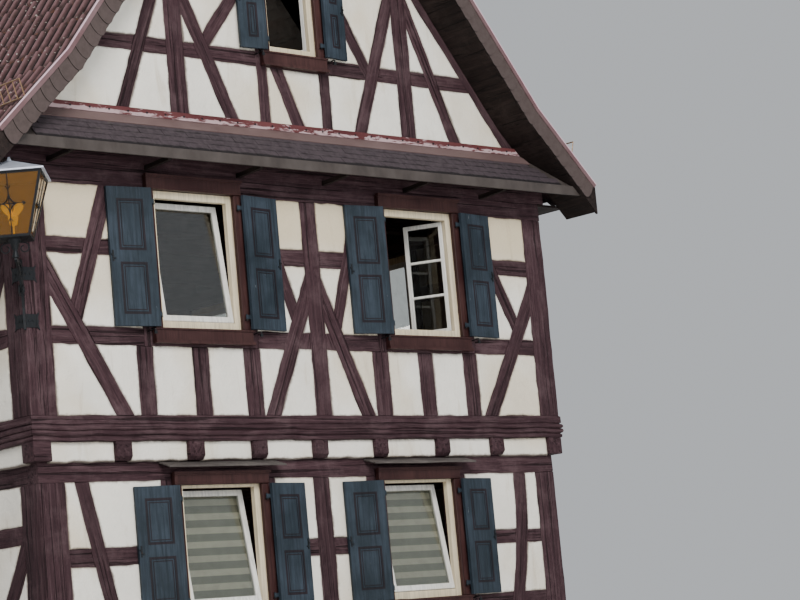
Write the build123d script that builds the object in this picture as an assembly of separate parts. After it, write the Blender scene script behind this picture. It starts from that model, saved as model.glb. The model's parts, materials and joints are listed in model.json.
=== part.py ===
from build123d import *
from math import atan2, cos, radians, sin, tan
import os

# Half timbered house with its gable to the front, in millimetres.
# X runs along the front to the right, Y runs into the house, Z runs up from the ground.
# The origin is at ground level under the middle of the house.
os.makedirs("parts", exist_ok=True)

# Plan of the upper storey
front_width = 7360
house_depth = 8600
jetty = 90
wall_depth = 180
panel_recess = 12
corner_post = 310
joint_gap = 2

# Levels above the ground
plinth_height = 480
plinth_depth = 260
plinth_proud = 30
ground_sill_height = 180
ground_post_height = 2000
ground_plate_height = 200
joist_height = 190
moulded_beam_height = 250
upper_post_height = 2300
upper_plate_height = 200
tie_beam_height = 220
floor_board = 35

# Moulding of the jetty's sill beam
fascia_face = 78
fascia_proud = 12
roll_radius = 27
roll_proud = 26
beam_groove = 12

# Roof
roof_pitch = 52.3
eave_pitch = 44.4
kick_inset = 380
eave_overhang = 490
eave_rise = 149
roof_thickness = 100
verge_reach = 450
verge_board_depth = 225
verge_board_thickness = 30
soffit_board = 25
end_rafter_inner = 327
rafter_depth = 160
rafter_width = 110
rafter_pairs = 8
ridge_cap_leg = 190
ridge_cap_thickness = 30

# Pent roof across the foot of the gable
pent_reach = 400
pent_rise = 330
pent_fall = 405
pent_thickness = 60
pent_fascia_height = 105
pent_fascia_thickness = 25
flashing_height = 85
flashing_thickness = 22
pent_strut_size = 45

# Windows and casings
casing_width = 90
casing_proud = 50
frame_bar = 80
frame_cover = 20
frame_depth = 60
frame_setback = 12
sash_bar = 62
sash_depth = 50
sash_setback = 14
sash_clearance = 0.3
glazing_bar = 28
casement_bar = 48
glass_thickness = 8
window_width = 1050
upper_sill_rise = 880
ground_sill_rise = 660
ground_window_drop = 53
gable_window_width = 696
gable_sill_rise = 1190
gable_window_height = 1130
gable_lintel = 60
apron_height = 155
ground_head = 130
upper_head = 150
gable_head = 120
canopy_overhang = 150
canopy_reach = 190
canopy_thickness = 18
canopy_fall = 60

# Shutters
shutter_thickness = 35
shutter_clearance = 5
shutter_standoff = 8
shutter_open_angle = 188
pin_beyond_edge = 31.6
pin_before_face = 14.9
pin_radius = 7
knuckle_radius = 11
knuckle_height = 45
pintle_plate = 10
bar_flats = 12
pin_clearance = 0.3
strap_height = 40
strap_thickness = 8
strap_length = 300
shutter_stile = 105
shutter_rail = 120
field_recess = 9
field_bevel = 26
field_drop = 2
strap_inset = 130

# Doorway at the back
door_width = 1000
door_drop = 100
door_leaf_thickness = 60
step_rise = 160
step_going = 320

# Lantern on the left front corner
lantern_turn = 41
lantern_distance = 420
lantern_hang = 670
lantern_height = 600
lantern_bottom_half = 165
lantern_top_half = 325
lantern_bar = 22
lantern_roof_rise = 140
lantern_roof_lip = 24
lantern_glass = 5

# Setting out of the gable front: places along it from its left end, for a front of this width,
# and heights as shares of their storey
set_out_width = 7360
upper_window_places = [2156, 5346]
ground_window_places = [2300, 5074]
gable_window_place = 3703
door_place = 5074
upper_middle_post = (3624, 3848)
ground_middle_post = (3573, 3797)
parapet_posts = [(1311, 1518), (2011, 2224), (2683, 2913), (4498, 4733), (5181, 5405), (5875, 6099)]
upper_braces = [
    ((1120, 0), (230, 0.661), 190), ((3030, 0), (3690, 0.626), 190),
    ((4370, 0), (3740, 0.652), 190), ((6256, 0), (7150, 0.661), 190)]
upper_counters = [
    ((1090, 1.013), (600, 0.426), 180), ((3230, 0.739), (3480, 0.413), 150),
    ((4290, 0.783), (4030, 0.435), 150), ((6440, 0.748), (6820, 0.417), 160)]
upper_rails = [(0, 1411, 0.696, 0.767), (2901, 4601, 0.691, 0.77), (6091, 7360, 0.704, 0.783)]
ground_brace = ((595, 1), (1020, 0.03), 165)
bowed_brace = ((6690, 1.03), (6250, -0.03), 130, 190)
ground_rail_top = 0.68
gable_posts = [(1989, 2224), (5248, 5472)]
gable_braces = [
    ((1160, -0.024), (2060, 0.432), 150), ((3045, -0.024), (2130, 0.376), 170),
    ((4430, -0.024), (5330, 0.455), 170), ((6300, -0.024), (5370, 0.426), 160)]
gable_counters = [((3260, 0.432), (2520, 0.245), 150), ((4130, 0.455), (4830, 0.214), 150)]
under_window_brace = ((3400, 0.238), (3900, -0.004), 165)
collar_braces = [((2560, 0), (3600, 1), 150), ((4800, 0), (3760, 1), 150)]
joist_places = [1076, 1980, 2820, 3652, 4530, 5455, 6312]
strut_places = [380, 1580, 2780, 3980, 5180, 6380]

# Levels and lines worked out from the sizes above
ground_sill_top = plinth_height + ground_sill_height
ground_plate_bottom = ground_sill_top + ground_post_height
ground_plate_top = ground_plate_bottom + ground_plate_height
moulded_beam_bottom = ground_plate_top + joist_height
moulded_beam_top = moulded_beam_bottom + moulded_beam_height
upper_plate_bottom = moulded_beam_top + upper_post_height
upper_plate_top = upper_plate_bottom + upper_plate_height
tie_beam_top = upper_plate_top + tie_beam_height
half_width = front_width / 2
half_depth = house_depth / 2
kick_half_width = half_width - kick_inset
eave_half_width = half_width + eave_overhang
roof_slope = tan(radians(roof_pitch))
eave_slope = tan(radians(eave_pitch))
eave_height = upper_plate_top + eave_rise
kick_height = eave_height + eave_slope * (eave_half_width - kick_half_width)
ridge_height = kick_height + roof_slope * kick_half_width
pent_top = tie_beam_top + pent_rise
pent_eave_top = pent_top - pent_fall
flashing_top = pent_top + flashing_height
ground_window_bottom = ground_sill_top + ground_sill_rise
ground_window_top = ground_plate_bottom - ground_window_drop
upper_window_bottom = moulded_beam_top + upper_sill_rise
upper_window_top = upper_plate_bottom
gable_window_bottom = tie_beam_top + gable_sill_rise
gable_window_top = gable_window_bottom + gable_window_height
lantern_bottom = upper_plate_bottom - lantern_hang
door_top = ground_plate_bottom - door_drop


def at(place):
    """A place along the front, moved in step with the front's width."""
    return place * front_width / set_out_width


def save(name, solids):
    """Writes the solids of one node to its file."""
    solids = list(solids)
    shape = solids[0] if len(solids) == 1 else Compound(children=solids)
    export_step(shape, f"parts/{name}.step")
    print(name, len(solids))


def box(x0, x1, y0, y1, z0, z1):
    """A block between two corners."""
    return Solid.make_box(x1 - x0, y1 - y0, z1 - z0, Plane((x0, y0, z0)))


def polygon(points):
    """A flat face in a wall's own plane: u along the wall, z up."""
    return Face(Wire.make_polygon([(u, 0, z) for u, z in points], close=True))


def rectangle(u0, u1, z0, z1):
    return polygon([(u0, z0), (u1, z0), (u1, z1), (u0, z1)])


def strip(start, end, width, overrun=150):
    """A slanting timber's face between two points of its middle line."""
    angle = atan2(end[1] - start[1], end[0] - start[0])
    du, dz = cos(angle), sin(angle)
    a = (start[0] - overrun * du, start[1] - overrun * dz)
    b = (end[0] + overrun * du, end[1] + overrun * dz)
    n = (-dz * width / 2, du * width / 2)
    return polygon([(a[0] + n[0], a[1] + n[1]), (b[0] + n[0], b[1] + n[1]),
                    (b[0] - n[0], b[1] - n[1]), (a[0] - n[0], a[1] - n[1])])


def bowed(top, bottom, bow, width):
    """A naturally curved timber's face, bowed sideways between its ends."""
    middle = ((top[0] + bottom[0]) / 2 + bow, (top[1] + bottom[1]) / 2)
    half = width / 2
    right = ThreePointArc(*[(u + half, 0, z) for u, z in (top, middle, bottom)])
    left = ThreePointArc(*[(u - half, 0, z) for u, z in (bottom, middle, top)])
    ends = [Line(right @ 1, left @ 0), Line(left @ 1, right @ 0)]
    return Face(Wire([right.edge(), ends[0].edge(), left.edge(), ends[1].edge()]))


def faces_of(shape):
    if shape is None:
        return []
    if isinstance(shape, (list, tuple, ShapeList)):
        return [face for item in shape for face in item.faces()]
    return list(shape.faces())


def overlaps(a, b):
    one, two = a.bounding_box(), b.bounding_box()
    return (one.min.X < two.max.X and two.min.X < one.max.X
            and one.min.Z < two.max.Z and two.min.Z < one.max.Z)


def without(face, cutters):
    """The parts of a face that no cutter covers."""
    near = [cutter for cutter in cutters if overlaps(face, cutter)]
    return faces_of(face - near) if near else [face]


def within(face, field):
    return faces_of(face & field)


def slab(face, depth, start=0):
    """Gives a wall face its depth, from start behind the outer face."""
    return Solid.extrude(face.moved(Location((0, start, 0))), Vector(0, depth, 0))


smallest_panel = 1500


def frame_wall(field, posts=(), braces=(), counters=(), rails=(), openings=()):
    """Cuts the timbers of one wall against each other and fills what is left with panels.

    Posts run through, braces stop at posts, counter braces stop at braces, rails stop at all.
    """
    post_faces = [piece for face in posts for piece in within(face, field)]
    brace_faces = []
    for face in braces:
        for part in within(face, field):
            brace_faces.append(max(without(part, post_faces + list(openings)), key=lambda piece: piece.area))
    counter_faces = []
    for start, end, width in counters:
        part = within(strip(start, end, width), field)[0]
        kept = max(without(part, post_faces + brace_faces), key=lambda piece: piece.area)
        counter_faces.append(kept)
    taken = post_faces + brace_faces + counter_faces
    rail_faces = []
    for face in rails:
        for part in within(face, field):
            cut = without(part, taken + list(openings))
            rail_faces += [piece for piece in cut if piece.area > smallest_panel]
    panel_faces = []
    for part in without(field, taken + rail_faces + list(openings)):
        if part.area > smallest_panel:
            panel_faces.append(part)
    timber = {"posts": post_faces, "braces": brace_faces, "counters": counter_faces, "rails": rail_faces}
    pieces = {kind: [slab(face, wall_depth) for face in faces] for kind, faces in timber.items()}
    pieces["panels"] = [slab(face, wall_depth - 2 * panel_recess, panel_recess) for face in panel_faces]
    return pieces


def wall_places(inset):
    """Where the four walls of a storey stand, front first, each with its own length."""
    return {
        "front": Location((-half_width, -half_depth + inset, 0)),
        "right": Location((half_width - inset, -half_depth, 0), (0, 0, 90)),
        "back": Location((half_width, half_depth - inset, 0), (0, 0, 180)),
        "left": Location((-half_width + inset, half_depth, 0), (0, 0, -90)),
    }


def post(u0, u1, z0, z1):
    return rectangle(u0, u1, z0, z1)


def stud(edges, z0, z1):
    """A post set out along the front: it keeps its own width where the front's changes."""
    middle = at((edges[0] + edges[1]) / 2)
    half = (edges[1] - edges[0]) / 2
    return rectangle(middle - half, middle + half, z0, z1)


def set_out(timber, z0, height):
    """The two ends and the width of a slanting timber that is set out along the front."""
    (u0, low), (u1, high), width = timber
    return (at(u0), z0 + low * height), (at(u1), z0 + high * height), width


# Windows: (centre along the wall, width, bottom, top) of each casing's clear opening
front_upper_windows = [(at(place), window_width) for place in upper_window_places]
front_ground_windows = [(at(place), window_width) for place in ground_window_places]
side_windows = [(0.31 * house_depth, window_width), (0.69 * house_depth, window_width)]
gable_window_centre = at(gable_window_place)
door_centre = at(door_place)
window_post = 200
sill_rail = 180
side_post = 220

# Braces of the long sides, as shares of the wall's length and of its height
corner_brace_share = 0.0953
middle_foot_share = 0.0651
side_rail_share = 0.72
middle_brace_share = 0.62


def rough(centre, width):
    """The gap between the posts that a window frame fills."""
    return centre - width / 2 - frame_cover, centre + width / 2 + frame_cover


def window_posts(windows, z0, z1):
    posts = []
    for centre, width in windows:
        left, right = rough(centre, width)
        posts += [post(left - window_post, left, z0, z1), post(right, right + window_post, z0, z1)]
    return posts


def window_gaps(windows, z0, z1):
    return [rectangle(*rough(centre, width), z0, z1) for centre, width in windows]


def upper_front():
    z0, z1 = moulded_beam_top, upper_plate_bottom
    rail = upper_window_bottom
    field = rectangle(corner_post, front_width - corner_post, z0, z1)
    posts = [stud(upper_middle_post, z0, z1)] + window_posts(front_upper_windows, rail - sill_rail, z1)
    posts += [stud(edges, z0, rail - sill_rail - joint_gap) for edges in parapet_posts]
    joints = [stud(edges, rail - sill_rail - joint_gap, rail - sill_rail) for edges in parapet_posts]
    braces = [strip(*set_out(timber, z0, upper_post_height)) for timber in upper_braces]
    counters = [set_out(timber, z0, upper_post_height) for timber in upper_counters]
    rails = [rectangle(corner_post, front_width - corner_post, rail - sill_rail, rail)]
    rails += [rectangle(at(u0), at(u1), z0 + low * upper_post_height, z0 + high * upper_post_height)
              for u0, u1, low, high in upper_rails]
    openings = window_gaps(front_upper_windows, rail, z1) + joints
    return frame_wall(field, posts, braces, counters, rails, openings)


def ground_front(back=False):
    z0, z1 = ground_sill_top, ground_plate_bottom
    rail = ground_window_bottom
    left, right = jetty + corner_post, front_width - jetty - corner_post
    field = rectangle(left, right, z0, z1)
    windows = front_ground_windows[:1] if back else front_ground_windows
    posts = [stud(ground_middle_post, z0, z1)] + window_posts(windows, z0, z1)
    openings = window_gaps(windows, rail, z1)
    if back:
        door_left, door_right = rough(door_centre, door_width)
        posts += window_posts([(door_centre, door_width)], z0, z1)
        openings.append(rectangle(door_left, door_right, z0, z1))
    top, foot, bow, bow_width = bowed_brace
    braces = [
        strip(*set_out(ground_brace, z0, ground_post_height)),
        bowed(*set_out((top, foot, bow), z0, ground_post_height), bow_width),
    ]
    mid = z0 + ground_rail_top * ground_post_height
    second_window = rough(*front_ground_windows[1])[0]
    rails = [
        rectangle(left, right, rail - sill_rail, rail),
        rectangle(left, second_window, mid - sill_rail, mid),
        rectangle(second_window, right, mid - sill_rail + 30, mid),
    ]
    return frame_wall(field, posts, braces, [], rails, openings)


def side_wall(z0, z1, rail, inset):
    """A long side: two windows, a post in the middle and a brace against each corner."""
    left, right = inset + corner_post, house_depth - inset - corner_post
    field = rectangle(left, right, z0, z1)
    centre = house_depth / 2
    posts = window_posts(side_windows, z0, z1)
    posts.append(post(centre - side_post / 2, centre + side_post / 2, z0, z1))
    height = z1 - z0
    corner_run = corner_brace_share * house_depth
    middle_run = middle_foot_share * house_depth
    braces = [
        strip((left + corner_run, z0), (left - 60, z0 + side_rail_share * height), 190),
        strip((right - corner_run, z0), (right + 60, z0 + side_rail_share * height), 190),
        strip((centre - middle_run, z0), (centre + 20, z0 + middle_brace_share * height), 180),
        strip((centre + middle_run, z0), (centre - 20, z0 + middle_brace_share * height), 180),
    ]
    upper_rail = z0 + side_rail_share * height
    rails = [
        rectangle(left, right, rail - sill_rail, rail),
        rectangle(left, right, upper_rail, upper_rail + sill_rail),
    ]
    return frame_wall(field, posts, braces, [], rails, window_gaps(side_windows, rail, z1))


def roof_line(distance, depth=0):
    """Height of the main roof slope at a distance from the ridge, depth below its surface."""
    return ridge_height - roof_slope * distance - depth / cos(radians(roof_pitch))


def eave_line(distance, depth=0):
    """Height of the flatter slope over the eaves, depth below its surface."""
    return kick_height - eave_slope * (distance - kick_half_width) - depth / cos(radians(eave_pitch))


def kick_point(depth):
    """Where the two slopes meet, depth below the surface: distance from the ridge, height."""
    drop = depth / cos(radians(roof_pitch)) - depth / cos(radians(eave_pitch))
    distance = kick_half_width - drop / (roof_slope - eave_slope)
    return distance, roof_line(distance, depth)


def slope_profile(outer, inner, side, ridge_gap=0, end=eave_half_width):
    """Section of one roof side between two depths below its surface, cut square at the eave."""
    kick_out, kick_in = kick_point(outer), kick_point(inner)
    points = [
        (ridge_gap, roof_line(ridge_gap, outer)), kick_out, (end, eave_line(end, outer)),
        (end, eave_line(end, inner)), kick_in, (ridge_gap, roof_line(ridge_gap, inner)),
    ]
    return polygon([(side * x, z) for x, z in points])


gable_stud = 145
king_post = 200
collar_height = 180
gable_rail = 165


def gable_wall():
    """The attic gable's timbers and panels, under its end rafters."""
    z0 = tie_beam_top
    foot = (ridge_height - z0 - end_rafter_inner / cos(radians(roof_pitch))) / roof_slope
    peak = roof_line(0, end_rafter_inner)
    centre = half_width
    field = polygon([(centre - foot, z0), (centre + foot, z0), (centre, peak)])
    height = ridge_height - z0
    collar_z = gable_window_top + gable_lintel
    collar_top = collar_z + collar_height
    rail = gable_window_bottom
    rough_left, rough_right = rough(gable_window_centre, gable_window_width)
    posts = [stud(edges, z0, collar_z) for edges in gable_posts]
    posts += [
        post(rough_left - gable_stud, rough_left, z0, collar_z),
        post(rough_right, rough_right + gable_stud, z0, collar_z),
        post(centre - king_post / 2, centre + king_post / 2, collar_top, peak),
    ]
    braces = [strip(*set_out(timber, z0, height)) for timber in gable_braces]
    below = rectangle(0, front_width, z0, rail - gable_rail)
    braces += within(strip(*set_out(under_window_brace, z0, height)), below)
    braces += [strip(*set_out(timber, collar_top, peak - collar_top)) for timber in collar_braces]
    counters = [set_out(timber, z0, height) for timber in gable_counters]
    rails = [
        rectangle(0, front_width, collar_z, collar_top),
        rectangle(0, front_width, rail - gable_rail, rail),
    ]
    gaps = [rectangle(rough_left, rough_right, rail, collar_z)]
    return frame_wall(field, posts, braces, counters, rails, gaps)


# The four walls of each storey
def gather(kind, walls):
    """All pieces of one kind from the walls of a storey, set in their places."""
    return [piece.moved(place) for place, wall in walls for piece in wall[kind]]


upper_places = wall_places(0)
ground_places = wall_places(jetty)
upper_front_wall = upper_front()
upper_side_wall = side_wall(moulded_beam_top, upper_plate_bottom, upper_window_bottom, 0)
ground_side_wall = side_wall(ground_sill_top, ground_plate_bottom, ground_window_bottom, jetty)
upper_walls = [(upper_places["front"], upper_front_wall), (upper_places["back"], upper_front_wall),
               (upper_places["left"], upper_side_wall), (upper_places["right"], upper_side_wall)]
ground_walls = [(ground_places["front"], ground_front()), (ground_places["back"], ground_front(back=True)),
                (ground_places["left"], ground_side_wall), (ground_places["right"], ground_side_wall)]
gable = gable_wall()
gable_walls = [(upper_places["front"], gable), (upper_places["back"], gable)]


def corner_posts(inset, z0, z1):
    x, y = half_width - inset, half_depth - inset
    posts = []
    for sx in (-1, 1):
        for sy in (-1, 1):
            xs = sorted((sx * x, sx * (x - corner_post)))
            ys = sorted((sy * y, sy * (y - corner_post)))
            posts.append(box(*xs, *ys, z0, z1))
    return posts


def beam_ring(inset, depth, z0, z1):
    """Four beams round a storey: front and back run through, the sides fit between them."""
    x, y = half_width - inset, half_depth - inset
    inner = y - depth - joint_gap
    ring = [box(-x, x, -y, -y + depth, z0, z1), box(-x, x, y - depth, y, z0, z1)]
    ring += [box(-x, -x + depth, -inner, inner, z0, z1), box(x - depth, x, -inner, inner, z0, z1)]
    return ring


def moulded_beam(length, place):
    """The moulded sill of the jetty: a fascia, two rolls and a fillet, mitred at both ends."""
    top, bottom = moulded_beam_top, moulded_beam_bottom
    z1 = top - fascia_face - beam_groove
    z2 = z1 - 2 * roll_radius
    z3 = z2 - 2 * roll_radius
    upper = [(wall_depth, top), (0, top), (-fascia_proud, top - fascia_proud),
             (-fascia_proud, z1 + beam_groove), (0, z1 + beam_groove), (0, z1)]
    lower = [(0, z3), (0, z3 - beam_groove), (-fascia_proud, z3 - beam_groove),
             (-fascia_proud, bottom + fascia_proud), (0, bottom), (wall_depth, bottom), (wall_depth, top)]
    edges = [*Polyline(*[(0, y, z) for y, z in upper]).edges()]
    for z in (z1, z2):
        roll = ThreePointArc((0, 0, z), (0, -roll_proud, z - roll_radius), (0, 0, z - 2 * roll_radius))
        edges += roll.edges()
    edges += Polyline(*[(0, y, z) for y, z in lower]).edges()
    section = Face(Wire(edges))
    reach = roll_proud + 20
    beam = Solid.extrude(section.moved(Location((-reach, 0, 0))), Vector(length + 2 * reach, 0, 0))
    half_gap = joint_gap / 2
    keep = Face(Wire.make_polygon([
        (-reach + half_gap, -reach, bottom - 1), (length + reach - half_gap, -reach, bottom - 1),
        (length - wall_depth - half_gap, wall_depth, bottom - 1),
        (wall_depth + half_gap, wall_depth, bottom - 1),
    ], close=True))
    prism = Solid.extrude(keep, Vector(0, 0, top - bottom + 2))
    return (beam & prism).solid().moved(place)


front_joist_lines = [at(place) for place in joist_places]
joist_width = 200
corner_block = 210
joist_end_bevel = 40
side_joists = 8
joist_panel_setback = 55
joist_panel_thickness = 120


def joist(length, place, through=False):
    """A floor joist from one bevelled end at y=0 into the house, or right through to a second one."""
    z0, z1 = ground_plate_top, moulded_beam_bottom
    bevel = joist_end_bevel
    far_end = [(length - bevel, z0), (length, z0 + bevel)] if through else [(length, z0)]
    outline = [(0, z1), (0, z0 + bevel), (bevel, z0)] + far_end + [(length, z1)]
    side = Face(Wire.make_polygon([(0, y, z) for y, z in outline], close=True))
    return Solid.extrude(side, Vector(joist_width, 0, 0)).moved(place)


def floor_joists():
    """Joists from front to back, short ones from the sides, and the corner blocks."""
    pieces = []
    for line in front_joist_lines:
        u = line - joist_width / 2
        pieces.append(joist(house_depth, Location((u - half_width, -half_depth, 0)), True))
    stub = front_joist_lines[0] - joist_width / 2 - joint_gap
    far_stub = front_width - front_joist_lines[-1] - joist_width / 2 - joint_gap
    spacing = (house_depth - corner_block) / (side_joists + 1)
    for index in range(side_joists):
        y = -half_depth + corner_block / 2 + spacing * (index + 1)
        pieces.append(joist(stub, Location((-half_width, y + joist_width / 2, 0), (0, 0, -90))))
        pieces.append(joist(far_stub, Location((half_width, y - joist_width / 2, 0), (0, 0, 90))))
    z0, z1 = ground_plate_top, moulded_beam_bottom
    for sx in (-1, 1):
        for sy in (-1, 1):
            xs = sorted((sx * half_width, sx * (half_width - corner_block)))
            ys = sorted((sy * half_depth, sy * (half_depth - corner_block)))
            pieces.append(box(*xs, *ys, z0, z1))
    return pieces


def joist_panels():
    """Plaster between the joist ends, set back under the moulded beam."""
    z0, z1 = ground_plate_top, moulded_beam_bottom
    pieces = []
    edges = [corner_block] + [line + side for line in front_joist_lines
                              for side in (-joist_width / 2, joist_width / 2)] + [front_width - corner_block]
    outer, inner = joist_panel_setback, joist_panel_setback + joist_panel_thickness
    for u0, u1 in zip(edges[0::2], edges[1::2]):
        for sy in (-1, 1):
            ys = sorted((sy * (half_depth - outer), sy * (half_depth - inner)))
            pieces.append(box(u0 - half_width, u1 - half_width, *ys, z0, z1))
    spacing = (house_depth - corner_block) / (side_joists + 1)
    middles = [-half_depth + corner_block / 2 + spacing * index for index in range(side_joists + 2)]
    widths = [corner_block] + [joist_width] * side_joists + [corner_block]
    for index in range(side_joists + 1):
        y0 = middles[index] + widths[index] / 2
        y1 = middles[index + 1] - widths[index + 1] / 2
        for sx in (-1, 1):
            xs = sorted((sx * (half_width - outer), sx * (half_width - inner)))
            pieces.append(box(*xs, y0, y1, z0, z1))
    return pieces


save("plinth_walls", beam_ring(jetty - plinth_proud, plinth_depth, 0, plinth_height))
save("ground_sills", beam_ring(jetty, wall_depth, plinth_height, ground_sill_top))
save("ground_plates", beam_ring(jetty, wall_depth, ground_plate_bottom, ground_plate_top))
all_walls = ground_walls + upper_walls + gable_walls
save("wall_posts", corner_posts(jetty, ground_sill_top, ground_plate_bottom)
     + corner_posts(0, moulded_beam_top, upper_plate_bottom) + gather("posts", all_walls))
save("wall_rails", gather("rails", all_walls))
save("wall_braces", gather("braces", all_walls))
save("counter_braces", gather("counters", all_walls))
save("ground_wall_panels", gather("panels", ground_walls))
save("upper_wall_panels", gather("panels", upper_walls))
save("gable_panels", gather("panels", gable_walls))
save("floor_joists", floor_joists())
save("joist_panels", joist_panels())
sides = wall_places(0)
save("moulded_beams", [moulded_beam(front_width, sides["front"]), moulded_beam(house_depth, sides["right"]),
                       moulded_beam(front_width, sides["back"]), moulded_beam(house_depth, sides["left"])])
save("upper_plates", beam_ring(0, wall_depth, upper_plate_bottom, upper_plate_top))

# Floors
inside_x, inside_y = half_width - wall_depth, half_depth - wall_depth
plinth_inner = jetty - plinth_proud + plinth_depth
save("ground_floor", [box(-half_width + plinth_inner, half_width - plinth_inner,
                          -half_depth + plinth_inner, half_depth - plinth_inner, 0, ground_sill_top)])
tie_width = 180
rafter_foot_outer = (ridge_height - tie_beam_top - roof_thickness / cos(radians(roof_pitch))) / roof_slope
tie_run = rafter_foot_outer + joint_gap


def rafter_lines():
    """Where the inner rafter pairs and their tie beams stand between the gables."""
    first = -half_depth + wall_depth / 2
    spacing = (house_depth - wall_depth) / (rafter_pairs + 1)
    return [first + spacing * (index + 1) for index in range(rafter_pairs)]


gable_lines = [-half_depth + wall_depth / 2, half_depth - wall_depth / 2]
save("tie_beams", [box(-tie_run, tie_run, y - tie_width / 2, y + tie_width / 2, upper_plate_top, tie_beam_top)
                   for y in gable_lines + rafter_lines()])
rafter_foot_inner = (ridge_height - tie_beam_top
                     - (roof_thickness + rafter_depth) / cos(radians(roof_pitch))) / roof_slope
attic_half = rafter_foot_inner - floor_board / roof_slope - joint_gap
save("floor_boards", [
    box(-inside_x, inside_x, -inside_y, inside_y, moulded_beam_bottom, moulded_beam_bottom + floor_board),
    box(-attic_half, attic_half, -inside_y, inside_y, tie_beam_top, tie_beam_top + floor_board)])


# Roof frame
def end_rafter(side):
    """The rafter at the gable's edge, with the wedge that carries the flatter eave."""
    outer, inner = roof_thickness, end_rafter_inner
    foot = (ridge_height - tie_beam_top - inner / cos(radians(roof_pitch))) / roof_slope
    tip = eave_half_width - 40
    points = [
        (joint_gap / 2, roof_line(joint_gap / 2, outer)), kick_point(outer), (tip, eave_line(tip, outer)),
        (tip, eave_line(tip, outer) - 15), (tie_run + joint_gap, tie_beam_top), (foot, tie_beam_top),
        (joint_gap / 2, roof_line(joint_gap / 2, inner)),
    ]
    return polygon([(side * x, z) for x, z in points])


def rafter(side):
    outer, inner = roof_thickness, roof_thickness + rafter_depth
    head = joint_gap / 2
    points = [(head, roof_line(head, outer)), (rafter_foot_outer, tie_beam_top),
              (rafter_foot_inner, tie_beam_top), (head, roof_line(head, inner))]
    return polygon([(side * x, z) for x, z in points])


def along_house(face, y0, y1):
    """Extrudes a section of the house from one depth to another."""
    return Solid.extrude(face.moved(Location((0, y0, 0))), Vector(0, y1 - y0, 0))


save("end_rafters", [along_house(end_rafter(side), y - wall_depth / 2, y + wall_depth / 2)
                     for y in gable_lines for side in (-1, 1)])
save("rafters", [along_house(rafter(side), y - rafter_width / 2, y + rafter_width / 2)
                 for y in rafter_lines() for side in (-1, 1)])

# Roof covering and verges
verge_end = half_depth + verge_reach
for name, side in (("roof_left", -1), ("roof_right", 1)):
    save(name, [along_house(slope_profile(0, roof_thickness, side), -verge_end, verge_end)])
verge_out = verge_end + verge_board_thickness
save("verge_boards", [
    along_house(slope_profile(-20, verge_board_depth, side, joint_gap / 2, eave_half_width + 10), y0, y1)
    for y0, y1 in ((-verge_out, -verge_end), (verge_end, verge_out)) for side in (-1, 1)])
save("verge_soffits", [
    along_house(slope_profile(verge_board_depth - soffit_board, verge_board_depth, side,
                              joint_gap / 2, eave_half_width - 10), y0, y1)
    for y0, y1 in ((-verge_end, -half_depth), (half_depth, verge_end)) for side in (-1, 1)])
cap_drop = ridge_cap_thickness / cos(radians(roof_pitch))
cap_x = ridge_cap_leg
cap_top = ridge_height + cap_drop
save("ridge_cap", [along_house(polygon([
    (0, cap_top), (cap_x, cap_top - roof_slope * cap_x), (cap_x, roof_line(cap_x)), (0, ridge_height),
    (-cap_x, roof_line(cap_x)), (-cap_x, cap_top - roof_slope * cap_x)]), -verge_end, verge_end)])
eave_soffit_bottom = upper_plate_top - soffit_board
eave_tip = eave_half_width - 30
eave_pieces = []
for side in (-1, 1):
    xs = sorted((side * half_width, side * eave_tip))
    eave_pieces.append(box(*xs, -half_depth, half_depth, eave_soffit_bottom, upper_plate_top))
save("eave_soffits", eave_pieces)

# Pent roof across the foot of the gable
half_pent = eave_half_width - 30
pent_drop = pent_thickness
pent_section = [
    (0, pent_top), (-pent_reach, pent_eave_top),
    (-pent_reach, pent_eave_top - pent_drop), (0, pent_top - pent_drop)]


def cross_section(points, x0, x1):
    """Extrudes a section across the front, given as points of (y in front of the wall, z)."""
    face = Face(Wire.make_polygon([(x0, y - half_depth, z) for y, z in points], close=True))
    return Solid.extrude(face, Vector(x1 - x0, 0, 0))


def under_verge(solid):
    """What of a solid lies below the soffits of the verges."""
    depth = verge_board_depth + 1
    kick = kick_point(depth)
    end = eave_half_width + 400
    outline = [(0, roof_line(0, depth)), kick, (end, eave_line(end, depth)), (end, 0), (-end, 0),
               (-end, eave_line(end, depth)), (-kick[0], kick[1])]
    return (solid & along_house(polygon(outline), -verge_out, -half_depth)).solid()


save("pent_roof", [under_verge(cross_section(pent_section, -half_pent, half_pent))])
fascia_top = pent_eave_top - joint_gap
save("pent_fascia", [under_verge(cross_section([
    (-pent_reach, fascia_top), (-pent_reach - pent_fascia_thickness, fascia_top),
    (-pent_reach - pent_fascia_thickness, fascia_top - pent_fascia_height),
    (-pent_reach, fascia_top - pent_fascia_height)], -half_pent, half_pent))])
flashing_foot = pent_top + 5
save("flashing", [under_verge(cross_section([
    (0, flashing_top), (-flashing_thickness, flashing_top),
    (-flashing_thickness, flashing_foot), (0, flashing_foot)], -half_pent, half_pent))])
strut_foot = upper_plate_top + pent_strut_size
strut_head = fascia_top - pent_fascia_height + 30
save("pent_struts", [cross_section([
    (0, strut_foot), (0, strut_foot - pent_strut_size),
    (-pent_reach, strut_head - pent_strut_size), (-pent_reach, strut_head)], x, x + pent_strut_size)
    for x in [at(place) - half_width for place in strut_places]])


# Windows
def local(place, solids):
    return [solid.moved(place) for solid in solids]


def casing(centre, width, bottom, top, head, sill):
    """Boards round a window, standing proud of the wall: two jambs, a head and an apron."""
    left, right = centre - width / 2, centre + width / 2
    out = casing_width
    lip = 18
    face, back = -casing_proud, 0
    gap = joint_gap
    return [
        box(left - out, left, face, back, bottom + gap, top - gap),
        box(right, right + out, face, back, bottom + gap, top - gap),
        box(left - out, right + out, face - lip, back, top, top + head),
        box(left - out - lip, right + out + lip, face - lip, back, bottom - sill, bottom),
    ]


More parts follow.
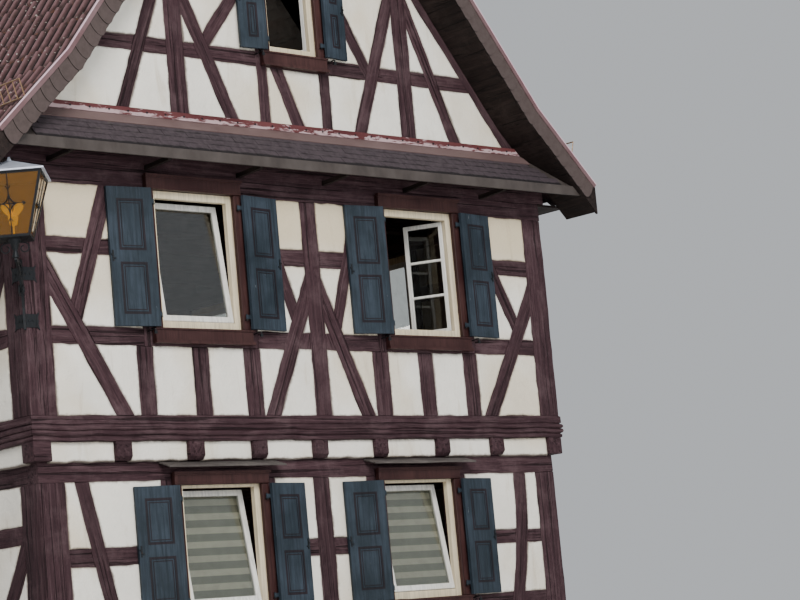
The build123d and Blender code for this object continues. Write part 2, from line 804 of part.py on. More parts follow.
def ring(left, right, bottom, top, bar, y0, y1):
    """Four bars of a window frame, the upright ones running through."""
    gap = joint_gap / 2
    return [
        box(left, left + bar, y0, y1, bottom, top),
        box(right - bar, right, y0, y1, bottom, top),
        box(left + bar + gap, right - bar - gap, y0, y1, bottom, bottom + bar),
        box(left + bar + gap, right - bar - gap, y0, y1, top - bar, top),
    ]


def sash(left, right, bottom, top, bar, lights=1):
    """A fused sash with its glass, lying in its frame: returns the sash and its panes."""
    y0 = frame_setback + sash_setback
    body = box(left, right, y0, y0 + sash_depth, bottom, top)
    pane_y = y0 + (sash_depth - glass_thickness) / 2
    light = (top - bottom - 2 * bar - glazing_bar * (lights - 1)) / lights
    panes = []
    for index in range(lights):
        z0 = bottom + bar + (light + glazing_bar) * index
        body = body - box(left + bar, right - bar, y0 - 1, y0 + sash_depth + 1, z0, z0 + light)
        panes.append(box(left + bar, right - bar, pane_y, pane_y + glass_thickness, z0, z0 + light))
    return body.solid(), panes


def units(storey, windows):
    """The windows of a storey: its name, each centre and width, bottom, top, and top of the frame's gap."""
    levels = {
        "ground": (ground_window_bottom, ground_window_top, ground_plate_bottom),
        "upper": (upper_window_bottom, upper_window_top, upper_plate_bottom),
        "gable": (gable_window_bottom, gable_window_top, gable_window_top + gable_lintel),
    }
    return [(storey, centre, width, *levels[storey]) for centre, width in windows]


front_units = (units("ground", front_ground_windows) + units("upper", front_upper_windows)
               + units("gable", [(gable_window_centre, gable_window_width)]))
back_units = [front_units[0]] + front_units[2:]
side_units = units("ground", side_windows) + units("upper", side_windows)


def unit_place(side, storey):
    return (ground_places if storey == "ground" else upper_places)[side]


# How each front sash stands: fixed shut, tilted in at the top, or swung in beside its frame
tilt_angle = {"ground": 9, "upper": 7}
blind_thickness = 6
blind_margin = 20
casement_swing = 62
casement_lights = 3
gable_swing = 75
window_nodes = ("window_casings", "window_frames", "window_sashes", "window_glass", "window_canopies",
                "roller_blinds")
nodes = {name: [] for name in window_nodes}


def turned(solid, point, direction, angle):
    return solid.rotate(Axis(point, direction), angle)


def window_unit(side, unit, opened):
    """Casing, frame, sash and glass of one window, with its sash as the photograph shows it."""
    storey, centre, width, bottom, top, rough_top = unit
    place = unit_place(side, storey)
    head = {"ground": ground_head, "upper": upper_head, "gable": gable_head}[storey]
    left, right = centre - width / 2, centre + width / 2
    nodes["window_casings"] += local(place, casing(centre, width, bottom, top, head, apron_height))
    rough_left, rough_right = rough(centre, width)
    nodes["window_frames"] += local(place, ring(
        rough_left, rough_right, bottom, rough_top, frame_bar, frame_setback, frame_setback + frame_depth))
    clear = sash_clearance
    inner_left, inner_right = rough_left + frame_bar + clear, rough_right - frame_bar - clear
    inner_bottom, inner_top = bottom + frame_bar + clear, rough_top - frame_bar - clear
    if opened in ("tilted", "shut"):
        body, panes = sash(inner_left, inner_right, inner_bottom, inner_top, sash_bar)
        back = frame_setback + sash_setback + sash_depth
        angle = -tilt_angle[storey] if opened == "tilted" else 0
        foot = (centre, back, inner_bottom)
        bodies = [turned(body, foot, (1, 0, 0), angle)]
        panes = [turned(pane, foot, (1, 0, 0), angle) for pane in panes]
        if opened == "tilted" and storey == "ground":
            blind = box(inner_left + blind_margin, inner_right - blind_margin, back, back + blind_thickness,
                        inner_bottom + blind_margin / 2, inner_top - blind_margin / 2)
            nodes["roller_blinds"] += local(place, [turned(blind, foot, (1, 0, 0), angle)])
    else:
        swing = casement_swing if storey == "upper" else gable_swing
        lights = casement_lights if storey == "upper" else 1
        middle = (inner_left + inner_right) / 2
        leaves = [(inner_left, inner_right, inner_right, -swing)]
        if storey == "upper":
            leaves = [(inner_left, middle - clear, inner_left, swing),
                      (middle + clear, inner_right, inner_right, -swing)]
        bodies, panes = [], []
        hinge_y = frame_setback + frame_depth + clear
        shift = Location((0, hinge_y - frame_setback - sash_setback, 0))
        for start, end, hinge, angle in leaves:
            body, glass = sash(start, end, inner_bottom, inner_top, casement_bar, lights)
            bodies.append(turned(body.moved(shift), (hinge, hinge_y, 0), (0, 0, 1), angle))
            panes += [turned(pane.moved(shift), (hinge, hinge_y, 0), (0, 0, 1), angle) for pane in glass]
    nodes["window_sashes"] += local(place, bodies)
    nodes["window_glass"] += local(place, panes)
    if storey == "ground":
        z = ground_plate_top - 12
        x0, x1 = left - casing_width - canopy_overhang, right + casing_width + canopy_overhang
        section = Face(Wire.make_polygon([
            (x0, 0, z), (x0, -canopy_reach, z - canopy_fall),
            (x0, -canopy_reach, z - canopy_fall - canopy_thickness),
            (x0, 0, z - canopy_thickness)], close=True))
        nodes["window_canopies"] += local(place, [Solid.extrude(section, Vector(x1 - x0, 0, 0))])


front_states = {0: "tilted", 1: "tilted", 2: "tilted", 3: "swung", 4: "swung"}
for index, unit in enumerate(front_units):
    window_unit("front", unit, front_states[index])
for unit in back_units:
    window_unit("back", unit, "shut")
for side in ("left", "right"):
    for unit in side_units:
        window_unit(side, unit, "shut")

# Doorway at the back, reached by stone steps
door_left, door_right = rough(door_centre, door_width)
door_bottom = ground_sill_top
jamb = 90
jamb_depth = 100
back_place = ground_places["back"]
save("door_frame", local(back_place, [
    box(door_left, door_left + jamb, -casing_proud, jamb_depth, door_bottom, door_top),
    box(door_right - jamb, door_right, -casing_proud, jamb_depth, door_bottom, door_top),
    box(door_left, door_right, -casing_proud, jamb_depth, door_top + joint_gap, ground_plate_bottom)]))
leaf_gap = 0.3
leaf_front = 10
leaf_rail = 130
leaf_recess = 14
lock_rail_share = 0.45
leaf_left, leaf_right = door_left + jamb + leaf_gap, door_right - jamb - leaf_gap
leaf_bottom, leaf_top = door_bottom + leaf_gap, door_top - leaf_gap
leaf_middle = door_bottom + lock_rail_share * (door_top - door_bottom)
leaf = box(leaf_left, leaf_right, leaf_front, leaf_front + door_leaf_thickness, leaf_bottom, leaf_top)
for low, high in ((leaf_bottom + leaf_rail, leaf_middle), (leaf_middle + leaf_rail, leaf_top - leaf_rail)):
    leaf = leaf - box(leaf_left + leaf_rail, leaf_right - leaf_rail,
                      leaf_front, leaf_front + leaf_recess, low, high)
save("back_door", local(back_place, [leaf.solid()]))
riser_count = 4
step_overhang = 100
wall_face = -plinth_proud
flight = None
for index in range(riser_count):
    depth = step_going * (riser_count - index)
    step = box(door_left - step_overhang, door_right + step_overhang, wall_face - depth, wall_face,
               index * step_rise, (index + 1) * step_rise)
    flight = step if flight is None else flight + step
save("door_steps", local(back_place, [flight.solid()]))
for name, solids in nodes.items():
    save(name, solids)

# Shutters: one leaf each side of a front window, hung on pins at the casing's edge
def round_bar(x, y, z, radius, height):
    """An upright bar of round section, forged with a few flats."""
    turn = 360 / bar_flats
    rim = [(x + radius * cos(radians(turn * side)), y + radius * sin(radians(turn * side)), z)
           for side in range(bar_flats)]
    return Solid.extrude(Face(Wire.make_polygon(rim, close=True)), Vector(0, 0, height))


def shutter(side, centre, width, bottom, top):
    """A leaf as it hangs open, its pin's place, and the pintle that stays on the casing."""
    edge = centre + side * width / 2
    leaf = width / 2 - 2 * shutter_clearance
    pin_u = edge + side * pin_beyond_edge
    face = -casing_proud - shutter_standoff
    pin_y = face - pin_before_face
    z0, z1 = bottom + shutter_clearance, top - shutter_clearance
    near, far = edge - side * shutter_clearance, edge - side * (shutter_clearance + leaf)
    us = sorted((near, far))
    body = box(us[0], us[1], face, face + shutter_thickness, z0, z1)
    middle = (z0 + z1) / 2
    fields = [(z0 + shutter_rail, middle - shutter_rail / 2), (middle + shutter_rail / 2, z1 - shutter_rail)]
    a, b = us[0] + shutter_stile, us[1] - shutter_stile
    for low, high in fields:
        for outer in (face, face + shutter_thickness - field_recess):
            body = body - box(a, b, outer, outer + field_recess, low, high)
        inset = field_bevel
        body = body + box(a + inset, b - inset, face + field_drop, face + shutter_thickness - field_drop,
                          low + inset, high - inset)
    for z in (z0 + strap_inset, z1 - strap_inset):
        strap_end = near - side * strap_length
        xs = sorted((pin_u, strap_end))
        strap = box(xs[0], xs[1], face - strap_thickness, face, z - strap_height / 2, z + strap_height / 2)
        knuckle = round_bar(pin_u, pin_y, z - knuckle_height / 2, knuckle_radius, knuckle_height)
        web = box(pin_u - 8, pin_u + 8, pin_y, face, z - strap_height / 2, z + strap_height / 2)
        bore = round_bar(pin_u, pin_y, z - knuckle_height / 2 - 1,
                         pin_radius + pin_clearance, knuckle_height + 2)
        body = body + strap + knuckle + web - bore
    pintles = []
    for z in (z0 + strap_inset, z1 - strap_inset):
        foot = z - knuckle_height / 2 - pin_clearance
        pin = round_bar(pin_u, pin_y, foot - pintle_plate, pin_radius, knuckle_height + 2 * pintle_plate)
        plate = box(pin_u - 12, pin_u + 12, pin_y - 12, -casing_proud, foot - pintle_plate, foot)
        pintles.append((pin + plate).solid())
    body = body.solid().rotate(Axis((pin_u, pin_y, 0), (0, 0, 1)), side * shutter_open_angle)
    return body, pintles


all_pintles = []
front_names = ["ground_left_window", "ground_right_window", "upper_left_window", "upper_right_window",
               "gable_window"]
for unit, name in zip(front_units, front_names):
    place = unit_place("front", unit[0])
    for side, hand in ((-1, "left"), (1, "right")):
        body, pintles = shutter(side, *unit[1:5])
        save(f"{name}_{hand}_shutter", [body.moved(place)])
        all_pintles += local(place, pintles)
save("shutter_pintles", all_pintles)

# Lantern and its iron bracket, on the arris of the left front corner post
bracket_place = Location((-half_width, -half_depth, 0), (0, 0, -90 - lantern_turn))
iron = 24
strap_levels = (lantern_bottom - 715, lantern_bottom - 255)
strap_plate = 130
strap_iron = 6
arm_level = lantern_bottom - 170


def lantern_body(half_bottom, half_top, z0, z1):
    """A four-sided body with flat faces round the lantern's axis, wider or narrower at its top."""
    corners = ((-1, -1), (1, -1), (1, 1), (-1, 1))
    low = [(lantern_distance + a * half_bottom, b * half_bottom, z0) for a, b in corners]
    high = [(lantern_distance + a * half_top, b * half_top, z1) for a, b in corners]
    outlines = [low, high] + [[low[i - 1], low[i], high[i], high[i - 1]] for i in range(len(corners))]
    return Solid(Shell([Face(Wire.make_polygon(outline, close=True)) for outline in outlines]))


def lantern_opening(axis, inset):
    """The trapezoid hole through two opposite faces, a bar's width inside their edges."""
    z0, z1 = lantern_bottom + inset, lantern_bottom + lantern_height - inset
    grow = (lantern_top_half - lantern_bottom_half) / lantern_height
    a = lantern_bottom_half + grow * inset - inset
    b = lantern_top_half - grow * inset - inset
    far = 2 * lantern_top_half
    outline = [(-a, z0), (a, z0), (b, z1), (-b, z1)]
    if axis == "x":
        rim = [(lantern_distance - far, across, z) for across, z in outline]
        through = Vector(2 * far, 0, 0)
    else:
        rim = [(lantern_distance - across, -far, z) for across, z in outline]
        through = Vector(0, 2 * far, 0)
    return Solid.extrude(Face(Wire.make_polygon(rim, close=True)), through)


lantern_top = lantern_bottom + lantern_height
shell = (lantern_body(lantern_bottom_half, lantern_top_half, lantern_bottom, lantern_top)
         - lantern_body(lantern_bottom_half - lantern_bar, lantern_top_half - lantern_bar,
                        lantern_bottom + lantern_bar, lantern_top + 1))
cage = (shell - lantern_opening("x", lantern_bar) - lantern_opening("y", lantern_bar)).solid()
save("lantern_frame", [cage.moved(bracket_place)])
skin = (lantern_body(lantern_bottom_half - 8, lantern_top_half - 8, lantern_bottom, lantern_top)
        - lantern_body(lantern_bottom_half - 8 - lantern_glass, lantern_top_half - 8 - lantern_glass,
                       lantern_bottom - 1, lantern_top + 1))
panes = []
for axis in ("x", "y"):
    panes += (skin & lantern_opening(axis, lantern_bar)).solids()
save("lantern_glass", [pane.moved(bracket_place) for pane in panes])
eave = lantern_top_half + lantern_roof_lip
roof_lip = 14
finial_half = 30
finial_height = 45
plate = lantern_body(eave, eave, lantern_top, lantern_top + roof_lip)
hat = lantern_body(eave, finial_half, lantern_top + roof_lip, lantern_top + roof_lip + lantern_roof_rise)
finial_z = lantern_top + roof_lip + lantern_roof_rise
finial = lantern_body(24, 8, finial_z - 1, finial_z - 1 + finial_height)
save("lantern_roof", [(plate + hat + finial).solid().moved(bracket_place)])


def flat_iron(face):
    """A flat bar of the bracket, standing in its upright plane."""
    return Solid.extrude(face.moved(Location((0, -iron / 2, 0))), Vector(0, iron, 0))


def scroll(s, z, radius, bar):
    whole = Solid.make_cylinder(radius, iron, Plane((s, -iron / 2, z), z_dir=(0, 1, 0)))
    bore = Solid.make_cylinder(radius - bar, iron + 2, Plane((s, -iron / 2 - 1, z), z_dir=(0, 1, 0)))
    return whole - bore


back_bar = flat_iron(rectangle(0, 34, strap_levels[0] - 90, strap_levels[1] + 130))
arm = flat_iron(rectangle(20, lantern_distance + 20, arm_level - 28, arm_level))
brace_foot = strap_levels[0] - 40
brace_arc = ThreePointArc(
    (26, 0, brace_foot), (120, 0, arm_level - 170), (lantern_distance, 0, arm_level - 14))
inner_arc = ThreePointArc(
    (lantern_distance, 0, arm_level - 42), (150, 0, arm_level - 205), (26, 0, brace_foot - 40))
brace_face = Face(Wire([brace_arc.edge(), Line(brace_arc @ 1, inner_arc @ 0).edge(),
                        inner_arc.edge(), Line(inner_arc @ 1, brace_arc @ 0).edge()]))
bracket = back_bar + arm + flat_iron(brace_face) + scroll(100, arm_level - 72, 52, 16)
bracket = bracket + Solid.make_cone(34, 20, 60, Plane((lantern_distance, 0, arm_level - 1)))
bracket = bracket + Solid.make_cone(18, 60, lantern_bottom - arm_level - 58,
                                    Plane((lantern_distance, 0, arm_level + 58)))
bracket = bracket.moved(bracket_place)
for level in strap_levels:
    x, y = -half_width, -half_depth
    low, high = level - strap_plate / 2, level + strap_plate / 2
    bracket = bracket + box(x - strap_iron, x + strap_plate, y - strap_iron, y, low, high)
    bracket = bracket + box(x - strap_iron, x, y - strap_iron, y + strap_plate, low, high)
save("lantern_bracket", [bracket.solid()])
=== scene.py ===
import bmesh
import bpy
import json
import math
import random
from mathutils import Matrix, Vector, noise


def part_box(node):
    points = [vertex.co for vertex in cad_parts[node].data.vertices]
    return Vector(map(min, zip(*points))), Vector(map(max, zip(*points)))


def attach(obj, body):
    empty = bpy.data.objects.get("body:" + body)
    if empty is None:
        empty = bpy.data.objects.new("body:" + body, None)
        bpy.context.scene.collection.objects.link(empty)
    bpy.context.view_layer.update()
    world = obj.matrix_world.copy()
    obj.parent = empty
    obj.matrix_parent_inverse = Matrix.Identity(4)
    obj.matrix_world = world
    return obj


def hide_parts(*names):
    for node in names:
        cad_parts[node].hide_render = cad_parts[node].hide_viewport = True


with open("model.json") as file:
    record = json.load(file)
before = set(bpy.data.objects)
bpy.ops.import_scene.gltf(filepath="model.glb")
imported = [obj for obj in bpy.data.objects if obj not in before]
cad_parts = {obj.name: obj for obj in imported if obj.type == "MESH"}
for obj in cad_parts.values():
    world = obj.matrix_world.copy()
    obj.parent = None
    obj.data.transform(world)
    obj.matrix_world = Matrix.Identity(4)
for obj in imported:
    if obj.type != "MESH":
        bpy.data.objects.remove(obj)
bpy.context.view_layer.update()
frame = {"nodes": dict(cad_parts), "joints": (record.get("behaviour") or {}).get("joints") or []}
nodes = frame["nodes"]
pins = {joint["child"]: Vector(joint["pos_m"]) for joint in frame["joints"]}
house = "house"
# A seed for the noise, so that every run gives the same shapes
noise.seed_set(7)

# Main measures of the house and its roof
half_width, half_depth = 3.68, 4.3
side_line = 3.45
ground_inset = 0.09
kick_x, kick_z, eave_x = 3.3, 6.801, 4.17
roof_angle, eave_angle = math.radians(52.3), math.radians(44.4)
ridge_z = kick_z + math.tan(roof_angle) * kick_x
main_slope = kick_x / math.cos(roof_angle)
slope_length = main_slope + (eave_x - kick_x) / math.cos(eave_angle)
verge_y = half_depth + 0.45
verge_outer = verge_y + 0.03

# Camera, in the place the photograph was taken from
camera_place = (-17.051, -23.355, 0.747)
camera_yaw, camera_pitch, camera_roll = 43.931, 8.247, -5.267
camera_lens, camera_sensor, camera_reach = 109.43, 36, 200

# Studio: name, place, target, size, power, colour
studio_lights = (("key", (-16, -30, 22), (0, -3, 4), 13, 11000, (1.0, 0.98, 0.95)),
                 ("fill", (-3, -34, 7), (0, -3, 4), 16, 3200, (0.95, 0.98, 1.0)),
                 ("rim", (6, 26, 18), (0, 0, 5), 12, 4200, (1.0, 0.99, 0.97)),
                 ("lower_room", (0.4, 0.5, 2.2), (0.4, 0.6, 0), 1.5, 45, (1.0, 0.95, 0.88)),
                 ("upper_room", (0.4, 0.5, 5.2), (0.4, 0.6, 0), 1.5, 45, (1.0, 0.95, 0.88)),
                 ("attic", (0.4, 0.5, 7.0), (0.4, 0.6, 12), 1.5, 260, (1.0, 0.95, 0.88)))
floor_reach = 60


def shifted(x, y, z):
    return Matrix.Translation((x, y, z))


def spun(axis, degrees):
    return Matrix.Rotation(math.radians(degrees), 4, axis)


def axes(x, y, z):
    """The turn that lays the three axes along three directions."""
    return Matrix((x, y, z)).transposed().to_4x4()


def toned(colour, share):
    return tuple(part * share for part in colour)


def show(name, data):
    """Puts an object with its data into the scene."""
    thing = bpy.data.objects.new(name, data)
    bpy.context.scene.collection.objects.link(thing)
    return thing


def set_camera():
    yaw, pitch, roll = (math.radians(angle) for angle in (camera_yaw, camera_pitch, camera_roll))
    ahead = Vector((math.sin(yaw) * math.cos(pitch), math.cos(yaw) * math.cos(pitch), math.sin(pitch)))
    level = Vector((math.cos(yaw), -math.sin(yaw), 0))
    above = level.cross(ahead)
    right = math.cos(roll) * level + math.sin(roll) * above
    up = math.cos(roll) * above - math.sin(roll) * level
    data = bpy.data.cameras.new("view")
    data.lens = camera_lens
    data.sensor_width = camera_sensor
    data.clip_end = camera_reach
    data.dof.use_dof = False
    camera = show("view", data)
    camera.matrix_world = shifted(*camera_place) @ axes(right, up, -ahead)
    bpy.context.scene.camera = camera


def set_studio():
    for name, place, target, size, power, colour in studio_lights:
        data = bpy.data.lights.new(name, "AREA")
        data.shape = "DISK"
        data.size = size
        data.energy = power
        data.color = colour
        light = show(name, data)
        light.location = place
        light.rotation_euler = (Vector(target) - Vector(place)).to_track_quat("-Z", "Y").to_euler()
    world = bpy.data.worlds.new("studio")
    world.use_nodes = True
    background = world.node_tree.nodes["Background"]
    background.inputs["Color"].default_value = (0.86, 0.89, 0.93, 1)
    background.inputs["Strength"].default_value = 0.6
    bpy.context.scene.world = world


def lay_floor():
    plan = [(-floor_reach, -floor_reach, 0), (floor_reach, -floor_reach, 0), (floor_reach, floor_reach, 0),
            (-floor_reach, floor_reach, 0)]
    ground = bpy.data.meshes.new("floor")
    ground.from_pydata(plan, [], [[0, 1, 2, 3]])
    floor = show("floor", ground)
    pale = Finish("pale_floor", Roughness=0.9)
    patch = pale.levels(pale.cloud(pale.place, 0.3), 0.4, 0.6)
    pale.colour(pale.blend(patch, (0.74, 0.73, 0.71), (0.78, 0.77, 0.75)))
    ground.materials.append(pale.material)


# Finishes
class Finish:
    """A material while it is made: its nodes, and the shader that they feed."""

    def __init__(self, name, attribute=None, **values):
        self.material = bpy.data.materials.new(name)
        self.material.use_nodes = True
        self.tree = self.material.node_tree
        self.shader = self.tree.nodes["Principled BSDF"]
        for socket, value in values.items():
            self.shader.inputs[socket.replace("_", " ")].default_value = value
        self.object_place = self.node("TexCoord").outputs["Object"]
        self.place = self.attribute(attribute, "Vector") if attribute else self.object_place

    def feed(self, value, socket):
        if isinstance(value, bpy.types.NodeSocket):
            self.tree.links.new(value, socket)
        else:
            socket.default_value = value

    def node(self, kind, **values):
        """Adds a shader node and feeds its inputs."""
        node = self.tree.nodes.new("ShaderNode" + kind)
        for socket, value in values.items():
            self.feed(value, node.inputs[socket.replace("_", " ")])
        return node

    def attribute(self, name, output="Fac"):
        node = self.node("Attribute")
        node.attribute_name = name
        return node.outputs[output]

    def stretched(self, x, y, z):
        return self.node("Mapping", Vector=self.place, Scale=(x, y, z)).outputs["Vector"]

    def cloud(self, place, scale, detail=4.0, roughness=0.6, distortion=0.0):
        return self.node("TexNoise", Vector=place, Scale=scale, Detail=detail, Roughness=roughness,
                         Distortion=distortion).outputs["Fac"]

    def ramp(self, value, *stops):
        node = self.node("ValToRGB", Fac=value)
        band = node.color_ramp
        while len(band.elements) < len(stops):
            band.elements.new(0.5)
        for element, (position, colour) in zip(band.elements, stops):
            element.position = position
            element.color = (*colour, 1)
        return node.outputs["Color"]

    def levels(self, value, low, high, to_low=0.0, to_high=1.0):
        return self.node("MapRange", Value=value, From_Min=low, From_Max=high, To_Min=to_low,
                         To_Max=to_high).outputs["Result"]

    def sum(self, operation, a, b=0.0):
        node = self.node("Math")
        node.operation = operation
        self.feed(a, node.inputs[0])
        self.feed(b, node.inputs[1])
        return node.outputs[0]

    def plus(self, a, b):
        return self.sum("ADD", a, b)

    def minus(self, a, b):
        return self.sum("SUBTRACT", a, b)

    def times(self, a, b):
        return self.sum("MULTIPLY", a, b)

    def blend(self, factor, a, b, mode="MIX"):
        node = self.node("Mix")
        node.data_type = "RGBA"
        node.blend_type = mode
        self.feed(factor, node.inputs["Factor"])
        colours = [socket for socket in node.inputs if socket.type == "RGBA"]
        for value, socket in zip((a, b), colours):
            self.feed(value if isinstance(value, bpy.types.NodeSocket) else (*value, 1), socket)
        return [socket for socket in node.outputs if socket.type == "RGBA"][0]

    def split(self, axis, place=None):
        return self.node("SeparateXYZ", Vector=place or self.place).outputs[axis]

    def colour(self, value):
        self.feed(value, self.shader.inputs["Base Color"])

    def rough(self, value, low, high):
        self.feed(self.levels(value, 0.3, 0.7, low, high), self.shader.inputs["Roughness"])

    def relief(self, value, depth, strength=1.0):
        node = self.node("Bump", Distance=depth, Strength=strength, Height=value)
        self.feed(node.outputs["Normal"], self.shader.inputs["Normal"])


def timber_finish(name, dark, mid, pale, attribute="grain", stretch=(1.3, 26, 26), depth=0.004):
    """Old oak under a dark stain: streaks and checks along the grain, worn paler in places."""
    made = Finish(name, attribute, Roughness=0.8, Specular_IOR_Level=0.16)
    x, y, z = stretch
    streak = made.cloud(made.stretched(x, y, z), 1.0, 7, 0.7, 0.5)
    fine = made.cloud(made.stretched(x * 5, y * 4, z * 4), 1.0, 4, 0.7)
    check = made.cloud(made.stretched(x * 0.45, y * 1.3, z * 1.3), 1.0, 4, 0.6, 0.7)
    patch = made.cloud(made.object_place, 2.6, 7, 0.7, 0.4)
    hewn = made.cloud(made.object_place, 14, 3, 0.55)
    gap = made.levels(check, 0.59, 0.64)
    shade = made.ramp(streak, (0.30, dark), (0.52, mid), (0.80, pale))
    shade = made.blend(made.levels(patch, 0.48, 0.72, 0.0, 0.6), shade, pale)
    shade = made.blend(made.levels(fine, 0.52, 0.68, 0.0, 0.55), shade, toned(dark, 0.45))
    shade = made.blend(made.times(gap, 0.7), shade, toned(dark, 0.35))
    if attribute:
        tone = made.levels(made.attribute("tone"), 0, 1, 0.78, 1.25)
        shade = made.blend(1.0, shade, made.ramp(tone, (0.0, (0, 0, 0)), (1.0, (1, 1, 1))), "MULTIPLY")
    made.colour(shade)
    made.rough(streak, 0.65, 0.92)
    body = made.plus(made.times(streak, 0.7), made.times(hewn, 0.7))
    made.relief(made.minus(made.plus(body, made.times(fine, 0.4)), gap), depth)
    return made.material


def plaster_finish(name, base, yellow_tint_and_eave_shade, stain, soot_and_rim_shade):
    """Lime plaster, laid by hand: soft waves, brushed grit, dirt and painted shade along the timbers, painted shade
    in a yellowish darker colour under the eaves.
    """
    made = Finish(name, Roughness=0.92, Specular_IOR_Level=0.15)
    wave = made.cloud(made.place, 2.2, 5, 0.6)
    grit = made.cloud(made.place, 55, 4, 0.6)
    colour = made.blend(made.levels(wave, 0.35, 0.7), base, toned(base, 0.88))
    blush = made.levels(made.cloud(made.stretched(0.7, 0.7, 0.7), 1.0, 3, 0.5), 0.48, 0.62, 0.0, 0.55)
    colour = made.blend(blush, colour, yellow_tint_and_eave_shade)
    height = made.split("Z")
    # Painted shade under the pent roof's eaves: between these heights the plaster is blended to the yellowish, darker
    # colour
    painted_eave_shade = made.times(made.levels(height, 4.6, 5.2), made.levels(height, 5.9, 5.8))
    colour = made.blend(made.times(painted_eave_shade, 0.85), colour, yellow_tint_and_eave_shade)
    drip = made.cloud(made.stretched(6, 6, 0.9), 1.0, 6, 0.7, 0.8)
    colour = made.blend(made.levels(drip, 0.56, 0.78, 0.0, 0.5), colour, stain)
    speck = made.levels(made.cloud(made.place, 38, 3, 0.6), 0.70, 0.76)
    colour = made.blend(made.times(speck, 0.35), colour, toned(stain, 0.4))
    crumb = made.cloud(made.place, 16, 6, 0.7)
    # Darker towards each panel's rim: painted shade along the timbers, mixed with dirt
    rim_shade_and_dirt = made.levels(made.plus(made.attribute("rim"), made.times(crumb, 0.8)), 0.62, 1.15)
    made.colour(made.blend(made.times(rim_shade_and_dirt, 0.85), colour, soot_and_rim_shade))
    made.rough(grit, 0.85, 0.97)
    trowel = made.cloud(made.place, 9, 5, 0.65, 0.7)
    made.relief(made.plus(made.times(trowel, 0.8), made.times(grit, 0.25)), 0.014)
    return made.material


def paint_finish(name, base, worn, under, scale=(1.5, 1.5, 1.5), wear=0.70, rough=(0.4, 0.65), depth=0.0015,
                 grain=True, chips=(11, 11, 11), peel=None):
    """Brushed oil paint: faint grain, faded patches, chips down to what lies under, peeled below a height."""
    made = Finish(name, Roughness=0.5, Specular_IOR_Level=0.22)
    patch = made.cloud(made.stretched(*scale), 1.6, 5, 0.6)
    colour = made.blend(made.levels(patch, 0.35, 0.72), base, worn)
    brush = made.cloud(made.stretched(38, 38, 2.2), 1.0, 4, 0.6, 0.3)
    if grain:
        colour = made.blend(made.levels(brush, 0.40, 0.7, 0.0, 0.75), colour, toned(base, 0.55))
    chip = made.cloud(made.stretched(*chips), 1.0, 8, 0.75, 0.5)
    if peel:
        chip = made.plus(chip, made.levels(made.split("Z"), *peel, 0.14, 0.0))
    bare = made.levels(chip, wear, wear + 0.03)
    made.colour(made.blend(bare, colour, under))
    made.rough(patch, *rough)
    made.relief(made.minus(brush, bare), depth)
    return made.material


def tile_finish(name, low, mid, high, moss, moss_from, foot=None, edge=None):
    """Burnt clay or slate: every piece its own tone, blotched by weather, moss in the damp. A foot is where a tile
    ends, crusted over; with a foot, the top of each roll is painted lighter as a highlight and its pan is painted
    dark as shade. An edge is the axis and the span over which a piece is painted dark as shade."""
    made = Finish(name, Roughness=0.8, Specular_IOR_Level=0.3)
    colour = made.ramp(made.attribute("tone"), (0.0, low), (0.5, mid), (1.0, high))
    blotch = made.cloud(made.place, 14, 6, 0.65, 0.4)
    colour = made.blend(made.levels(blotch, 0.42, 0.72, 0.0, 0.6), colour, low)
    growth = made.cloud(made.place, 2.1, 8, 0.75, 0.3)
    colour = made.blend(made.levels(growth, moss_from, moss_from + 0.12, 0.0, 0.75), colour, moss)
    own = made.attribute("grain", "Vector")
    if foot:
        height = made.split("Z", own)
        # Painted highlight: the top of each roll lighter
        colour = made.blend(made.levels(height, 0.034, 0.050, 0.0, 0.5), colour, toned(high, 1.7))
        # Painted shade: the pan beside each roll darker
        colour = made.blend(made.levels(height, 0.006, 0.038, 0.98, 0.0), colour, toned(low, 0.22))
        near = made.levels(made.split("Y", own), foot + 0.05, foot + 0.16, 1.0, 0.0)
        damp = made.levels(made.cloud(made.place, 9, 5, 0.7), 0.38, 0.52)
        rusty = made.levels(made.cloud(made.place, 26, 3, 0.6), 0.52, 0.64)
        crust = made.blend(rusty, toned(moss, 0.3), (0.090, 0.032, 0.012))
        colour = made.blend(made.times(made.times(near, damp), 0.92), colour, crust)
        lichen = made.levels(made.cloud(made.place, 30, 3, 0.5), 0.67, 0.70)
        colour = made.blend(made.times(lichen, 0.7), colour, (0.45, 0.42, 0.38))
    # Painted shade: a dark band along the given axis, at the sides of verge slates, the feet of pent slates and the
    # lapped ends of ridge tiles
    if edge:
        axis, start, end = edge
        far = made.sum("ABSOLUTE", made.split(axis, own))
        if axis == "Y":
            far = made.plus(far, made.levels(made.cloud(made.place, 7, 3, 0.6), 0.3, 0.7, -0.012, 0.012))
        colour = made.blend(made.levels(far, start, end, 0.0, 0.9), colour, toned(low, 0.2))
    made.colour(colour)
    made.rough(blotch, 0.65, 0.9)
    made.relief(blotch, 0.003)
    return made.material


def stone_finish(name, block_colour, joint):
    """Coursed rubble: blocks of their own tone with mortar between them."""
    made = Finish(name, Roughness=0.9, Specular_IOR_Level=0.2)
    wall = made.node("CombineXYZ", X=made.plus(made.split("X"), made.split("Y")), Y=made.split("Z"))
    courses = made.node("TexBrick", Vector=wall.outputs["Vector"], Scale=1.0, Brick_Width=0.46, Row_Height=0.24,
                        Mortar_Size=0.012, Mortar_Smooth=0.3, Color1=(*block_colour, 1),
                        Color2=(*toned(block_colour, 0.62), 1), Mortar=(*joint, 1))
    pit = made.cloud(made.place, 7, 8, 0.7)
    made.colour(made.blend(made.levels(pit, 0.4, 0.7, 0.0, 0.5), courses.outputs["Color"], toned(block_colour, 0.5)))
    made.rough(pit, 0.8, 0.97)
    made.relief(made.minus(pit, courses.outputs["Fac"]), 0.012)
    return made.material


